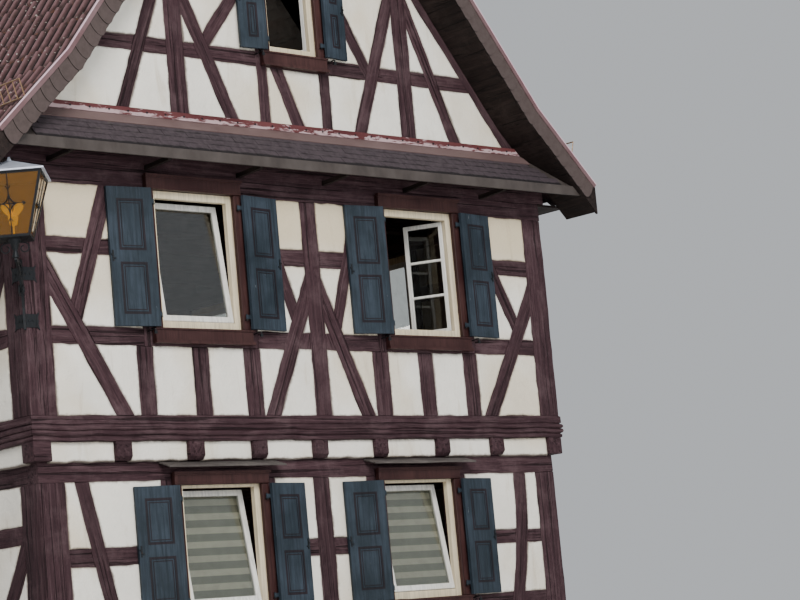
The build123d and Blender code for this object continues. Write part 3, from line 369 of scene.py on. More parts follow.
def glass_finish(name, colour, rough, amount=1.0, gloss=0.5, bending=1.7):
    made = Finish(name, Roughness=rough, IOR=bending, Transmission_Weight=amount, Specular_IOR_Level=gloss)
    ripple = made.cloud(made.stretched(2.5, 2.5, 1.2), 1.0, 2, 0.5)
    film = made.levels(made.cloud(made.place, 8, 4, 0.6), 0.4, 0.75, 0.0, 0.5)
    made.colour(made.blend(film, colour, toned(colour, 0.75)))
    made.relief(ripple, 0.004, 0.3)
    return made.material


def lamp_finish(name, low, high):
    made = Finish(name, Roughness=0.35, Emission_Strength=1.7, Emission_Color=(0.95, 1.0, 0.2, 1))
    made.colour(made.ramp(made.cloud(made.place, 30), (0.4, low), (0.7, high)))
    return made.material


def iron_finish(name, base, rust):
    """Forged iron, with hammer marks and a little rust."""
    made = Finish(name, Roughness=0.5, Metallic=0.75, Specular_IOR_Level=0.4)
    mark = made.cloud(made.place, 28, 3, 0.5)
    speck = made.cloud(made.place, 40, 8, 0.75)
    made.colour(made.blend(made.levels(speck, 0.56, 0.68, 0.0, 0.7), base, rust))
    made.rough(mark, 0.4, 0.7)
    made.relief(mark, 0.002)
    return made.material


def cloth_finish(name, light, dark, band):
    """Woven blind with pale and dark stripes across it, where the real one has closed and see-through stripes."""
    made = Finish(name, Roughness=0.85, Specular_IOR_Level=0.2)
    stripe = made.sum("PINGPONG", made.split("Z"), band)
    weave = made.cloud(made.stretched(220, 220, 220), 1.0, 2, 0.5)
    colour = made.blend(made.levels(stripe, band * 0.42, band * 0.5), light, dark)
    made.colour(made.blend(made.levels(weave, 0.3, 0.8, 0.0, 0.25), colour, dark))
    made.relief(weave, 0.0006)
    return made.material


timber = timber_finish("stained_oak", (0.021, 0.009, 0.012), (0.047, 0.023, 0.028), (0.112, 0.070, 0.076),
                       depth=0.013)
dark_board = timber_finish("tarred_board", (0.006, 0.004, 0.004), (0.016, 0.010, 0.009), (0.038, 0.027, 0.024),
                           None, (22, 1.2, 22))
raw_board = timber_finish("weathered_board", (0.035, 0.030, 0.028), (0.085, 0.072, 0.068), (0.17, 0.15, 0.14))
floor_board = timber_finish("floor_board", (0.09, 0.055, 0.032), (0.19, 0.12, 0.07), (0.28, 0.19, 0.12),
                            None, (9, 0.8, 9))
# The second colour is a yellowish tint and the painted shade under the eaves; the last is dark dirt and the painted
# shade along the timbers
plaster = plaster_finish("lime_plaster", (0.80, 0.765, 0.69), (0.60, 0.50, 0.34), (0.40, 0.31, 0.20),
                         (0.085, 0.060, 0.050))
casing_paint = paint_finish("oxblood_paint", (0.030, 0.010, 0.010), (0.058, 0.024, 0.022), (0.10, 0.075, 0.065),
                            wear=0.71)
white_paint = paint_finish("white_paint", (0.76, 0.75, 0.72), (0.66, 0.63, 0.56), (0.10, 0.08, 0.06))
cream_paint = paint_finish("cream_paint", (0.72, 0.62, 0.45), (0.62, 0.52, 0.35), (0.22, 0.16, 0.10))
shutter_paint = paint_finish("slate_blue_paint", (0.012, 0.020, 0.028), (0.036, 0.050, 0.068), (0.20, 0.22, 0.24),
                             wear=0.67, rough=(0.5, 0.75), depth=0.005, chips=(26, 26, 7))
# Dark plum paint: the thin mouldings, and painted shade in the recesses round the shutters' fields
moulding_and_recess_shade_paint = paint_finish("plum_paint_and_recess_shade", (0.007, 0.006, 0.009), (0.018, 0.011, 0.016), (0.12, 0.11, 0.10),
                              wear=0.72)
# With their foot given, the roof tiles get painted highlights on the rolls and painted shade in the pans
tile_clay = tile_finish("roof_tile", (0.038, 0.018, 0.018), (0.095, 0.045, 0.047), (0.160, 0.090, 0.096),
                        (0.034, 0.019, 0.010), 0.56, -0.335)
# The edges given below are painted shade: at the ridge tiles' laps, the verge slates' sides and the pent slates' feet
ridge_clay = tile_finish("ridge_tile", (0.050, 0.023, 0.021), (0.100, 0.050, 0.047), (0.150, 0.085, 0.080),
                         (0.040, 0.030, 0.018), 0.58, edge=("Y", 0.170, 0.182))
slate = tile_finish("riven_slate", (0.044, 0.031, 0.029), (0.064, 0.046, 0.043), (0.084, 0.064, 0.060),
                    (0.09, 0.085, 0.06), 0.70, edge=("Z", 0.0095, 0.0080))
old_slate = tile_finish("weathered_slate", (0.022, 0.016, 0.019), (0.050, 0.037, 0.043), (0.100, 0.080, 0.086),
                        (0.11, 0.10, 0.07), 0.62, edge=("Y", 0.072, 0.088))
flashing_paint = paint_finish("flaking_red_paint", (0.075, 0.018, 0.020), (0.14, 0.045, 0.046), (0.42, 0.30, 0.31),
                              (0.6, 3, 3), wear=0.60, grain=False, chips=(5, 26, 26), peel=(6.385, 6.405))
# Pale pink paint for the verge lip: a painted highlight along the top edge of the trim
lip_highlight_paint = paint_finish("pale_pink_highlight_paint", (0.60, 0.38, 0.45), (0.66, 0.50, 0.55), (0.30, 0.20, 0.20),
                         wear=0.64, grain=False)
trim_paint = paint_finish("faded_pink_paint", (0.120, 0.066, 0.070), (0.17, 0.110, 0.115), (0.26, 0.21, 0.20),
                          wear=0.66, grain=False)
band_metal = paint_finish("brown_sheet", (0.10, 0.062, 0.060), (0.15, 0.100, 0.096), (0.19, 0.16, 0.15),
                          wear=0.68, grain=False)
fascia_paint = paint_finish("streaked_sheet", (0.042, 0.034, 0.031), (0.072, 0.060, 0.055), (0.13, 0.11, 0.10),
                            (3, 3, 1.5), depth=0.0003, grain=False)
stone = stone_finish("plinth_stone", (0.34, 0.30, 0.26), (0.46, 0.43, 0.38))
window_glass = glass_finish("window_glass", (0.80, 0.83, 0.79), 0.02)
amber_glass = glass_finish("amber_glass", (0.33, 0.145, 0.004), 0.08, 0.76, 0.15, 1.4)
black_iron = iron_finish("black_iron", (0.020, 0.022, 0.025), (0.05, 0.028, 0.018))
pale_zinc = iron_finish("pale_zinc", (0.62, 0.66, 0.76), (0.40, 0.40, 0.40))
rusty_iron = iron_finish("rusty_iron", (0.30, 0.19, 0.11), (0.20, 0.09, 0.045))
lamp_glass = lamp_finish("lamp_glass", (0.85, 0.48, 0.08), (0.9, 0.62, 0.2))
blind_cloth = cloth_finish("blind_cloth", (0.52, 0.49, 0.40), (0.20, 0.20, 0.16), 0.072)

# Nodes that stay as they are, with their finishes
plain_nodes = ((dark_board, ("verge_soffits", "eave_soffits", "verge_boards", "rafters", "pent_struts")),
               (fascia_paint, ("pent_fascia", "pent_roof")), (floor_board, ("floor_boards",)),
               (stone, ("plinth_walls", "ground_floor", "door_steps")), (flashing_paint, ("flashing",)),
               (window_glass, ("window_glass",)), (amber_glass, ("lantern_glass",)),
               (black_iron, ("lantern_frame", "lantern_bracket", "shutter_pintles")),
               (pale_zinc, ("lantern_roof",)))


def paint_nodes():
    for finish, names in plain_nodes:
        for name in names:
            data = nodes[name].data
            data.materials.clear()
            data.materials.append(finish)


# Meshes
def smoothed(mesh, degrees):
    """Shades a mesh round, but sharp where it turns by more than some degrees."""
    mesh.polygons.foreach_set("use_smooth", [True] * len(mesh.polygons))
    mesh.set_sharp_from_angle(angle=math.radians(degrees))
    mesh.update()
    return mesh


class Stock:
    """Points and faces gathered into one mesh, with each point's place along the grain, its tone and its share of
    a rim's dirt and painted shade."""

    def __init__(self):
        self.points, self.faces, self.grain, self.tone, self.rim = [], [], [], [], []

    def add(self, points, faces, grain=None, tone=0.5, rim=None):
        start = len(self.points)
        self.points += [tuple(point) for point in points]
        self.faces += [[start + index for index in face] for face in faces]
        self.grain += [part for place in (grain or points) for part in place]
        self.tone += [tone] * len(points)
        self.rim += rim or [0.0] * len(points)

    def loft(self, rings, closed=True, rim=None):
        """Joins rings of points one after the other, with an end on both outer ones if they are closed."""
        count, layers = len(rings[0]), len(rings)
        faces = []
        if closed:
            faces = [list(range(count))[::-1], list(range(count * (layers - 1), count * layers))]
        for low in range(0, count * (layers - 1), count):
            high = low + count
            for i in range(count if closed else count - 1):
                j = (i + 1) % count
                faces.append([low + i, low + j, high + j, high + i])
        self.add([point for ring in rings for point in ring], faces, rim=rim)

    def plate(self, outline, depth, place=Matrix.Identity(4)):
        """An outline in x and y, given its depth along z, set in place."""
        self.loft([[place @ Vector((x, y, z)) for x, y in outline] for z in (0, depth)])

    def block(self, low, high, place=Matrix.Identity(4)):
        (x0, y0, z0), (x1, y1, z1) = low, high
        self.plate([(x0, y0), (x1, y0), (x1, y1), (x0, y1)], z1 - z0, place @ shifted(0, 0, z0))

    def sweep(self, start, end, turned_over=False):
        """A bar between two copies of one outline."""
        count = len(start)
        faces = [list(range(count)), list(range(count, 2 * count))[::-1]]
        faces += [[i, count + i, count + (i + 1) % count, (i + 1) % count] for i in range(count)]
        self.add(start + end, [face[::-1] for face in faces] if turned_over else faces)

    def wire(self, path, radius, sides=6):
        """A round bar bent along a path."""
        path = [Vector(point) for point in path]
        last = len(path) - 1
        turns = [math.tau * step / sides for step in range(sides)]
        rings = []
        side = None
        for index, point in enumerate(path):
            ahead = (path[min(index + 1, last)] - path[max(index - 1, 0)]).normalized()
            side = ahead.orthogonal().normalized() if side is None else (side - ahead * side.dot(ahead)).normalized()
            other = ahead.cross(side)
            rings.append([point + (side * math.cos(turn) + other * math.sin(turn)) * radius for turn in turns])
        self.loft(rings)

    def revolved(self, profile, place, sides=12):
        """A turned body: a profile of radius and height about its own axis."""
        turns = [math.tau * step / sides for step in range(sides)]
        self.loft([[place @ Vector((radius * math.cos(turn), radius * math.sin(turn), height)) for turn in turns]
                   for radius, height in profile])

    def mesh(self, name, smooth=30):
        mesh = bpy.data.meshes.new(name)
        mesh.from_pydata(self.points, [], self.faces)
        for title, kind, field, values in (("grain", "FLOAT_VECTOR", "vector", self.grain),
                                           ("tone", "FLOAT", "value", self.tone),
                                           ("rim", "FLOAT", "value", self.rim)):
            mesh.attributes.new(title, kind, "POINT").data.foreach_set(field, values)
        return smoothed(mesh, smooth)


def put(name, mesh, finish, body=house, stands_for=(), smooth=30):
    """Makes a mesh, or a stock, a piece of the object, on its body."""
    if isinstance(mesh, Stock):
        mesh = mesh.mesh(name, smooth)
    piece = show(name, mesh)
    mesh.materials.clear()
    mesh.materials.append(finish)
    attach(piece, body)
    if stands_for:
        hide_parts(*stands_for)
    return piece


def solids_of(node):
    """The separate solids of a node, each a small mesh of its own with its flat faces whole."""
    whole = bmesh.new()
    whole.from_mesh(nodes[node].data)
    bmesh.ops.remove_doubles(whole, verts=whole.verts, dist=0.0001)
    bmesh.ops.dissolve_limit(whole, angle_limit=math.radians(1), verts=whole.verts, edges=whole.edges)
    for elements in (whole.verts, whole.faces):
        elements.ensure_lookup_table()
        elements.index_update()
    seen = set()
    solids = []
    for first in whole.verts:
        if first.index in seen:
            continue
        seen.add(first.index)
        group, waiting = [], [first]
        while waiting:
            vert = waiting.pop()
            group.append(vert)
            for edge in vert.link_edges:
                other = edge.other_vert(vert)
                if other.index not in seen:
                    seen.add(other.index)
                    waiting.append(other)
        small = bmesh.new()
        copies = {vert.index: small.verts.new(vert.co) for vert in group}
        for index in sorted({face.index for vert in group for face in vert.link_faces}):
            small.faces.new([copies[vert.index] for vert in whole.faces[index].verts])
        small.normal_update()
        small.verts.ensure_lookup_table()
        solids.append(small)
    whole.free()
    return solids


def grain_axes(small):
    """The direction of a timber's length, and two directions across it."""
    points = [vert.co for vert in small.verts]
    middle = sum(points, Vector()) / len(points)
    along = Vector((0.3, 0.4, 0.5))
    for _ in range(30):
        along = sum(((point - middle) * (point - middle).dot(along) for point in points), Vector()).normalized()
    spans = [point.dot(along) for point in points]
    longest = max(small.edges, key=lambda edge: round(edge.calc_length(), 3))
    if longest.calc_length() > 0.5 * (max(spans) - min(spans)):
        along = (longest.verts[1].co - longest.verts[0].co).normalized()
    side = Vector((0, 1, 0)) if abs(along.y) < 0.7 else Vector((1, 0, 0))
    across = along.cross(side).normalized()
    return along, across, along.cross(across)


def cut_lengthways(small, along, step):
    """Cuts a timber across its length every step metres, so that it can bend."""
    spans = [vert.co.dot(along) for vert in small.verts]
    first, last = min(spans), max(spans)
    count = int((last - first) / step)
    for index in range(1, count + 1):
        at = first + (last - first) * index / (count + 1)
        everything = small.verts[:] + small.edges[:] + small.faces[:]
        bmesh.ops.bisect_plane(small, geom=everything, plane_co=along * at, plane_no=along, dist=0.0001)


def worked(name, node, finish, slot, bevel, wobble=0.0, step=0.16, body=house, segments=1, seed=0):
    """A node's timbers, worked by hand: edges worn round and slightly out of true."""
    stock = Stock()
    rng = random.Random(seed)
    for small in solids_of(node):
        along, across, third = grain_axes(small)
        if wobble:
            cut_lengthways(small, along, step)
            middle = sum((vert.co for vert in small.verts), Vector()) / len(small.verts)
            flat = Vector((1, 0.3, 1)) if abs(middle.x) < side_line else Vector((0.3, 1, 1))
            for vert in small.verts:
                vert.co += noise.noise_vector(vert.co * 2.7) * flat * wobble
                vert.co += noise.noise_vector(vert.co * 11) * flat * wobble * 0.4
        if bevel:
            sharp = [edge for edge in small.edges if len(edge.link_faces) == 2 and edge.calc_face_angle() > 0.6]
            bmesh.ops.bevel(small, geom=sharp, offset=bevel, segments=segments, affect="EDGES", profile=0.6,
                            clamp_overlap=True)
        small.verts.index_update()
        shift = Vector([rng.uniform(0, 40) for _ in range(3)])
        points = [vert.co.copy() for vert in small.verts]
        grain = [Vector((point.dot(along), point.dot(across), point.dot(third))) + shift for point in points]
        stock.add(points, [[vert.index for vert in face.verts] for face in small.faces], grain, rng.random())
        small.free()
    put(name, stock, finish, body, [node])


# Plaster: how far in from the panel's outline, how high, and how dark each ring of a panel is painted, as dirt and as
# shade along the timbers
plaster_profile = ((-0.010, -0.010, 1.0), (-0.006, 0.004, 1.0), (0.001, 0.0115, 0.7), (0.012, 0.0145, 0.35),
                   (0.034, 0.0155, 0.1), (0.075, 0.0155, 0.0))
plaster_step, plaster_push, plaster_calm = 0.10, 0.012, 0.075


def plaster_rim(outline, seed):
    """Divides a panel's outline into points: each has its place, a hand-made push, the way inwards and the room
    that it has there, up to the line midway between its side and the next ones."""
    sides = []
    for index, start in enumerate(outline):
        run = Vector(outline[(index + 1) % len(outline)]) - Vector(start)
        facing = Vector((-run.y, run.x)).normalized()
        sides.append((Vector(start), run, facing, max(1, round(run.length / plaster_step))))
    rim = []
    for index, (start, run, facing, pieces) in enumerate(sides):
        _, last_run, last_facing, last_pieces = sides[index - 1]
        for piece in range(pieces):
            point = start + run * (piece / pieces)
            way = facing
            room = 1.0
            if piece == 0:
                way = (facing + last_facing).normalized()
                turn = max(0.2, way.dot(facing))
                nearest = min(run.length / pieces, last_run.length / last_pieces)
                room = 0.8 * nearest * turn / math.sqrt(max(0.0001, 1 - turn * turn))
                way = way / turn
            for other, _, other_facing, _ in sides:
                gap = (point - other).dot(other_facing)
                spread = 1 - way.dot(other_facing)
                if gap > 0.0005 and spread > 0.1:
                    room = min(room, 0.85 * gap / spread)
            spot = Vector((point.x, point.y, seed))
            push = noise.noise_vector(spot * 6) + noise.noise_vector(spot * 19) * 0.6
            rim.append((point, push.to_2d() * min(plaster_push, room * 0.4), way, room))
    return rim


def plaster_ring(rim, distance):
    """A rim moved inwards; its pushes fade out towards the middle of the panel."""
    fade = min(1.0, 1 - distance / plaster_calm)
    return [point + push * fade + way * min(distance, room) for point, push, way, room in rim]


def plastered(name, node, depth):
    """Infill panels whose plaster laps the timbers with a soft, uneven edge."""
    stock = Stock()
    for number, small in enumerate(solids_of(node)):
        points = [vert.co for vert in small.verts]
        middle = sum(points, Vector()) / len(points)
        thin = 0 if abs(middle.x) > side_line else 1
        outward = 1 if middle[thin] > 0 else -1
        shown = max(small.faces, key=lambda face: (face.normal[thin] * outward > 0.9, face.calc_area()))
        level = shown.verts[0].co[thin]
        across = Vector((0, outward, 0)) if thin == 0 else Vector((-outward, 0, 0))
        edge = plaster_rim([(vert.co.dot(across), vert.co.z) for vert in shown.verts], number)
        small.free()
        # Each ring's share of the painted shade and dirt at the rim
        rings, rim_shade_and_dirt = [], []
        for inset, height, rim in ((-0.010, -depth, 1.0), *plaster_profile):
            ring = []
            for u, v in plaster_ring(edge, inset):
                place = across * u
                place[thin] = level + outward * height
                ring.append((place.x, place.y, v))
            rings.append(ring)
            rim_shade_and_dirt += [rim] * len(ring)
        stock.loft(rings, rim=rim_shade_and_dirt)
    put(name, stock, plaster, stands_for=[node], smooth=60)


# Laying what repeats
def laying_tree():
    """Sets one unit on every point, turned as the point says, each with a small turn and a tone of its own."""
    tree = bpy.data.node_groups.new("lay_units", "GeometryNodeTree")
    sockets = {}
    for name, kind in (("Points", "Geometry"), ("Unit", "Object"), ("Loose turn", "Float"), ("Seed", "Int"),
                       ("Finish", "Material")):
        socket = tree.interface.new_socket(name, in_out="INPUT", socket_type="NodeSocket" + kind)
        sockets[name] = socket.identifier
    tree.interface.new_socket("Laid", in_out="OUTPUT", socket_type="NodeSocketGeometry")

    def add(kind, inputs, **settings):
        """Adds a node; each of its inputs is linked to an output, or set."""
        node = tree.nodes.new(kind)
        for name, value in settings.items():
            setattr(node, name, value)
        for name, value in inputs.items():
            socket = [socket for socket in node.inputs if socket.name == name and socket.enabled][0]
            if isinstance(value, bpy.types.NodeSocket):
                tree.links.new(value, socket)
            else:
                socket.default_value = value
        return [socket for socket in node.outputs if socket.enabled]

    given = tree.nodes.new("NodeGroupInput").outputs
    least = add("ShaderNodeMath", {}, operation="MULTIPLY")[0].node
    least.inputs[1].default_value = -1
    tree.links.new(given["Loose turn"], least.inputs[0])
    unit = add("GeometryNodeObjectInfo", {"Object": given["Unit"]})[0].node.outputs["Geometry"]
    turn = add("GeometryNodeInputNamedAttribute", {"Name": "turn"}, data_type="FLOAT_VECTOR")[0]
    spread = add("GeometryNodeInstanceOnPoints", {"Points": given["Points"], "Instance": unit, "Rotation": turn})[0]
    loose = add("FunctionNodeRandomValue", {"Min": least.outputs[0], "Max": given["Loose turn"],
                                            "Seed": given["Seed"]}, data_type="FLOAT_VECTOR")[0]
    rotate = add("GeometryNodeRotateInstances", {"Instances": spread, "Rotation": loose})[0]
    tone = add("FunctionNodeRandomValue", {"Seed": given["Seed"]}, data_type="FLOAT")[0]
    keep = add("GeometryNodeStoreNamedAttribute", {"Geometry": rotate, "Name": "tone", "Value": tone},
               data_type="FLOAT", domain="INSTANCE")[0]
    real = add("GeometryNodeRealizeInstances", {"Geometry": keep})[0]
    paint = add("GeometryNodeSetMaterial", {"Geometry": real, "Material": given["Finish"]})[0]
    add("NodeGroupOutput", {"Laid": paint})
    return tree, sockets


laying, laying_inputs = laying_tree()


def lay(name, unit_mesh, places, finish, loose, seed, stands_for=()):
    """Lays a unit at every place of a list of matrices and makes the whole one piece."""
    unit = show("unit", unit_mesh)
    points = bpy.data.meshes.new("points")
    points.from_pydata([place.translation for place in places], [], [])
    turn = points.attributes.new("turn", "FLOAT_VECTOR", "POINT")
    turn.data.foreach_set("vector", [part for place in places for part in place.to_euler("XYZ")])
    ground = show("points", points)
    step = ground.modifiers.new("lay", "NODES")
    step.node_group = laying
    for socket, value in (("Unit", unit), ("Loose turn", loose), ("Seed", seed), ("Finish", finish)):
        step[laying_inputs[socket]] = value
    mesh = bpy.data.meshes.new_from_object(ground.evaluated_get(bpy.context.evaluated_depsgraph_get()))
    mesh.name = name
    ground.modifiers.remove(step)
    bpy.data.objects.remove(ground)
    bpy.data.objects.remove(unit)
    put(name, smoothed(mesh, 30), finish, stands_for=stands_for)


# Roof
tile_width, tile_exposed, tile_head = 0.172, 0.335, 0.055
tile_start, tile_sunk, tile_tilt, tile_thick = 0.10, -0.040, 2.6, 0.014
roll_width, roll_height, roll_centre = 0.040, 0.050, -0.044
tile_bed, deck_bottom = 0.060, 0.1


def roof_point(along, lift):
    """A point of the right slope in section: out and up, by its distance down from the ridge and its height off
    the surface, and the slope's angle there."""
    if along <= main_slope:
        x, z, angle = along * math.cos(roof_angle), ridge_z - along * math.sin(roof_angle), roof_angle
    else:
        rest = along - main_slope
        x, z, angle = kick_x + rest * math.cos(eave_angle), kick_z - rest * math.sin(eave_angle), eave_angle
    return x + lift * math.sin(angle), z + lift * math.cos(angle), angle


def tile_unit():
    """One interlocking tile: a high roll at its side, a shallow pan beside it, and a thick lower edge."""
    half = tile_width / 2
    section = [(-half, 0.004)]
    for degrees in range(0, 181, 30):
        turn = math.radians(degrees)
        section.append((roll_centre - roll_width * math.cos(turn), roll_height * math.sin(turn)))
    section += [(0.010, -0.004), (0.038, -0.006), (0.066, -0.002), (half + 0.006, 0.014)]
    stock = Stock()
    stock.loft([[(x, y, z - thick) for x, z in section] for y, thick in
                ((-tile_exposed, tile_thick), (-tile_exposed, 0), (tile_head, 0))], closed=False)
    return stock.mesh("tile", 50)


def tiled(side, name, node):
    """Courses of tiles from the ridge to the eave, their rolls in one line down the slope."""
    rows = round((slope_length - 0.12) / tile_exposed)
    step = (slope_length - tile_start) / rows
    columns = round(2 * verge_y / tile_width)
    places = []
    for row in range(rows):
        x, z, angle = roof_point(tile_start + step * row, tile_sunk)
        up = Vector((-math.cos(angle) * side, 0, math.sin(angle)))
        out = Vector((math.sin(angle) * side, 0, math.cos(angle)))
        turned = axes(up.cross(out), up, out) @ spun("X", tile_tilt)
        places += [shifted(side * x, -verge_y + tile_width * (column + 0.5), z) @ turned for column in range(columns)]
    lay(name, tile_unit(), places, tile_clay, 0.006, 3 + side, [node])


def ridge_tiles():
    """Angled ridge tiles: each has a thick collar at one end, which laps the thin end of the next."""
    low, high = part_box("ridge_cap")
    count = round((high.y - low.y) / 0.38)
    length = (high.y - low.y - 0.03) / count
    foot, head = -length / 2 - 0.02, length / 2
    collar = -length / 2 + 0.045
    slope, spread = math.tan(roof_angle), 1 / math.cos(roof_angle)
    rings = []
    for y, off in ((foot, 0.001), (foot, 0.029), (collar, 0.029), (collar + 0.005, 0.0255), (head, 0.022),
                   (head, 0.001)):
        rings.append([(x, y, off * spread - slope * (math.hypot(x, 0.008) - 0.008))
                      for x in (-0.188, -0.10, -0.04, -0.012, 0.0, 0.012, 0.04, 0.10, 0.188)])
    stock = Stock()
    stock.loft(rings, closed=False)
    places = [shifted(0, low.y + 0.025 + length * (index + 0.5), ridge_z) for index in range(count)]
    lay("ridge_tiles", stock.mesh("ridge_tile"), places, ridge_clay, 0.004, 31, ["ridge_cap"])


def follow_slope(stock, side, top, bottom, first, last, stations, at_ridge=False):
    """A layer that follows a slope between two depths under its surface, from one place along the house to
    another; at the ridge it may meet its other half."""
    rim = [roof_point(along, -top)[:2] for along in stations]
    rim += [roof_point(along, -bottom)[:2] for along in stations[::-1]]
    if at_ridge:
        rim[0] = (0.002, ridge_z - top / math.cos(roof_angle))
        rim[-1] = (0.002, ridge_z - bottom / math.cos(roof_angle))
    start, end = ([(side * x, y, z) for x, z in rim] for y in (first, last))
    stock.sweep(start, end, turned_over=(side > 0) == (last < first))


def deck(side, name):
    """Boarding under the tiles, down to the soffits."""
    stock = Stock()
    follow_slope(stock, side, tile_bed, deck_bottom, -verge_y, verge_y, [0.01, main_slope, slope_length - 0.02])
    put(name, stock, dark_board)


# Verges
verge_spacing = 0.160
verge_slate_outline = ((-0.03, 0.0), (-0.03, -0.200), (0.05, -0.205), (0.110, -0.213), (0.142, -0.207),
                       (0.162, -0.186), (0.171, -0.150), (0.169, -0.110), (0.160, -0.068), (0.146, -0.032),
                       (0.128, 0.0))


def verge_slates(name, front, side):
    """Slates down one verge of a gable: each laps the next one below with a bowed foot and a rounded corner."""
    down = 1 if (side > 0) == front else -1
    stock = Stock()
    stock.plate(verge_slate_outline if down > 0 else [(-x, y) for x, y in verge_slate_outline[::-1]], 0.010)
    y = -verge_outer - 0.002 if front else verge_outer + 0.002
    out = Vector((0, -1 if front else 1, 0))
    places = []
    for index in range(int((slope_length - 0.17) / verge_spacing) + 1):
        x, z, angle = roof_point(slope_length - 0.172 - verge_spacing * index, -0.014)
        up = Vector((math.sin(angle) * side, 0, math.cos(angle)))
        places.append(shifted(side * x, y, z) @ axes(up.cross(out), up, out) @ spun("Y", -3.2 * down))
    lay(name, stock.mesh("verge_slate", 40), places, slate, 0.012, 11 + side)


def clad_verges():
    stations = [0.0, main_slope, slope_length - 0.006]
    for front, word in ((True, "front"), (False, "back")):
        # The lip is painted pale as a highlight along the trim's top edge
        for part, top, bottom, thick, finish in (("trim", -0.010, 0.035, 0.026, trim_paint),
                                                 ("lip", -0.020, -0.0110, 0.029, lip_highlight_paint)):
            stock = Stock()
            first = -verge_outer if front else verge_outer
            last = first - thick if front else first + thick
            for side in (-1, 1):
                follow_slope(stock, side, top, bottom, first, last, stations, at_ridge=True)
            put(f"verge_{part}_{word}", stock, finish)
        for side, hand in ((-1, "left"), (1, "right")):
            verge_slates(f"verge_slates_{word}_{hand}", front, side)


# Pent roof across the foot of the gable
pent_wall_z, pent_eave_z, pent_reach, pent_half = 6.35, 5.945, 0.4, 4.14
pent_course, pent_slate_width, pent_slate_length, pent_tilt = 0.100, 0.30, 0.125, 3.2
pent_band_width, pent_band_thick = 0.185, 0.012
soffit_depth = 0.23
nail_radius = 0.011


def pent_limit(z):
    """Half the length that the pent roof has at a height, between the verges' soffits."""
    x = (ridge_z - soffit_depth / math.cos(roof_angle) - z) / math.tan(roof_angle)
    if x > kick_x + 0.02:
        top = kick_z + math.tan(eave_angle) * kick_x - soffit_depth / math.cos(eave_angle)
        x = (top - z) / math.tan(eave_angle)
    return min(x, pent_half)


def pent_slate():
    """A slate hung from its top edge at y 0, its foot cut by hand."""
    half, length = pent_slate_width / 2 + 0.001, pent_slate_length
    stock = Stock()
    stock.plate([(half, 0), (-half, 0), (-half, -length), (-half * 0.3, -length - 0.006),
                 (half * 0.4, -length + 0.004), (half, -length - 0.002)], 0.013)
    return stock.mesh("slate", 40)


def pent_roof():
    """Slates in four courses with straggling joints, and the sheet that covers their heads."""
    down = Vector((0, -pent_reach, pent_eave_z - pent_wall_z)) / math.hypot(pent_reach, pent_wall_z - pent_eave_z)
    out = Vector((0, down.z, -down.y))
    out = out if out.z > 0 else -out
    level = Vector((1, 0, 0))
    turned = axes(level, -down, out) @ spun("X", pent_tilt)
    wall = Vector((0, -half_depth, pent_wall_z))
    places = []
    for row in range(4):
        foot = wall + down * (pent_band_width - 0.03 + pent_course * row)
        half = pent_limit(foot.z) - 0.08
        count = int(2 * half / pent_slate_width)
        for column in range(count):
            x = -half + 2 * half * (column + (0.5 if row % 2 else 0.35)) / count
            if abs(x) < half - 0.05:
                places.append(Matrix.Translation(foot + level * x + out * 0.004) @ turned)
    lay("pent_slates", pent_slate(), places, old_slate, 0.007, 21)
    half = pent_limit(6.30) - 0.02
    head = wall + out * 0.002
    foot = head + down * pent_band_width + out * 0.010
    outline = [head, foot, foot + out * pent_band_thick, head + out * pent_band_thick]
    stock = Stock()
    stock.sweep(*([point + level * x for point in outline] for x in (-half, half)))
    put("pent_band", stock, band_metal)


def nail_unit():
    stock = Stock()
    stock.plate([(nail_radius * math.cos(math.tau * i / 8), nail_radius * math.sin(math.tau * i / 8))
                 for i in range(8)], 0.006)
    return stock.mesh("nail", 20)


def nails():
    half = pent_limit(6.40) - 0.1
    count = int(2 * half / 0.23)
    places = [shifted(-half + 2 * half * index / count, -half_depth - 0.022, 6.395) @ spun("X", 90)
              for index in range(count + 1)]
    lay("flashing_nails", nail_unit(), places, black_iron, 0.05, 31)


# Shutters
shutter_open = 188
pin_to_edge, pin_to_face = 0.0316 + 0.005, 0.0149
leaf_thickness, leaf_width, gable_leaf_width = 0.035, 0.515, 0.338
stile, rail = 0.105, 0.120


def leaf_side(body):
    return -1 if "_left_shutter" in body else 1


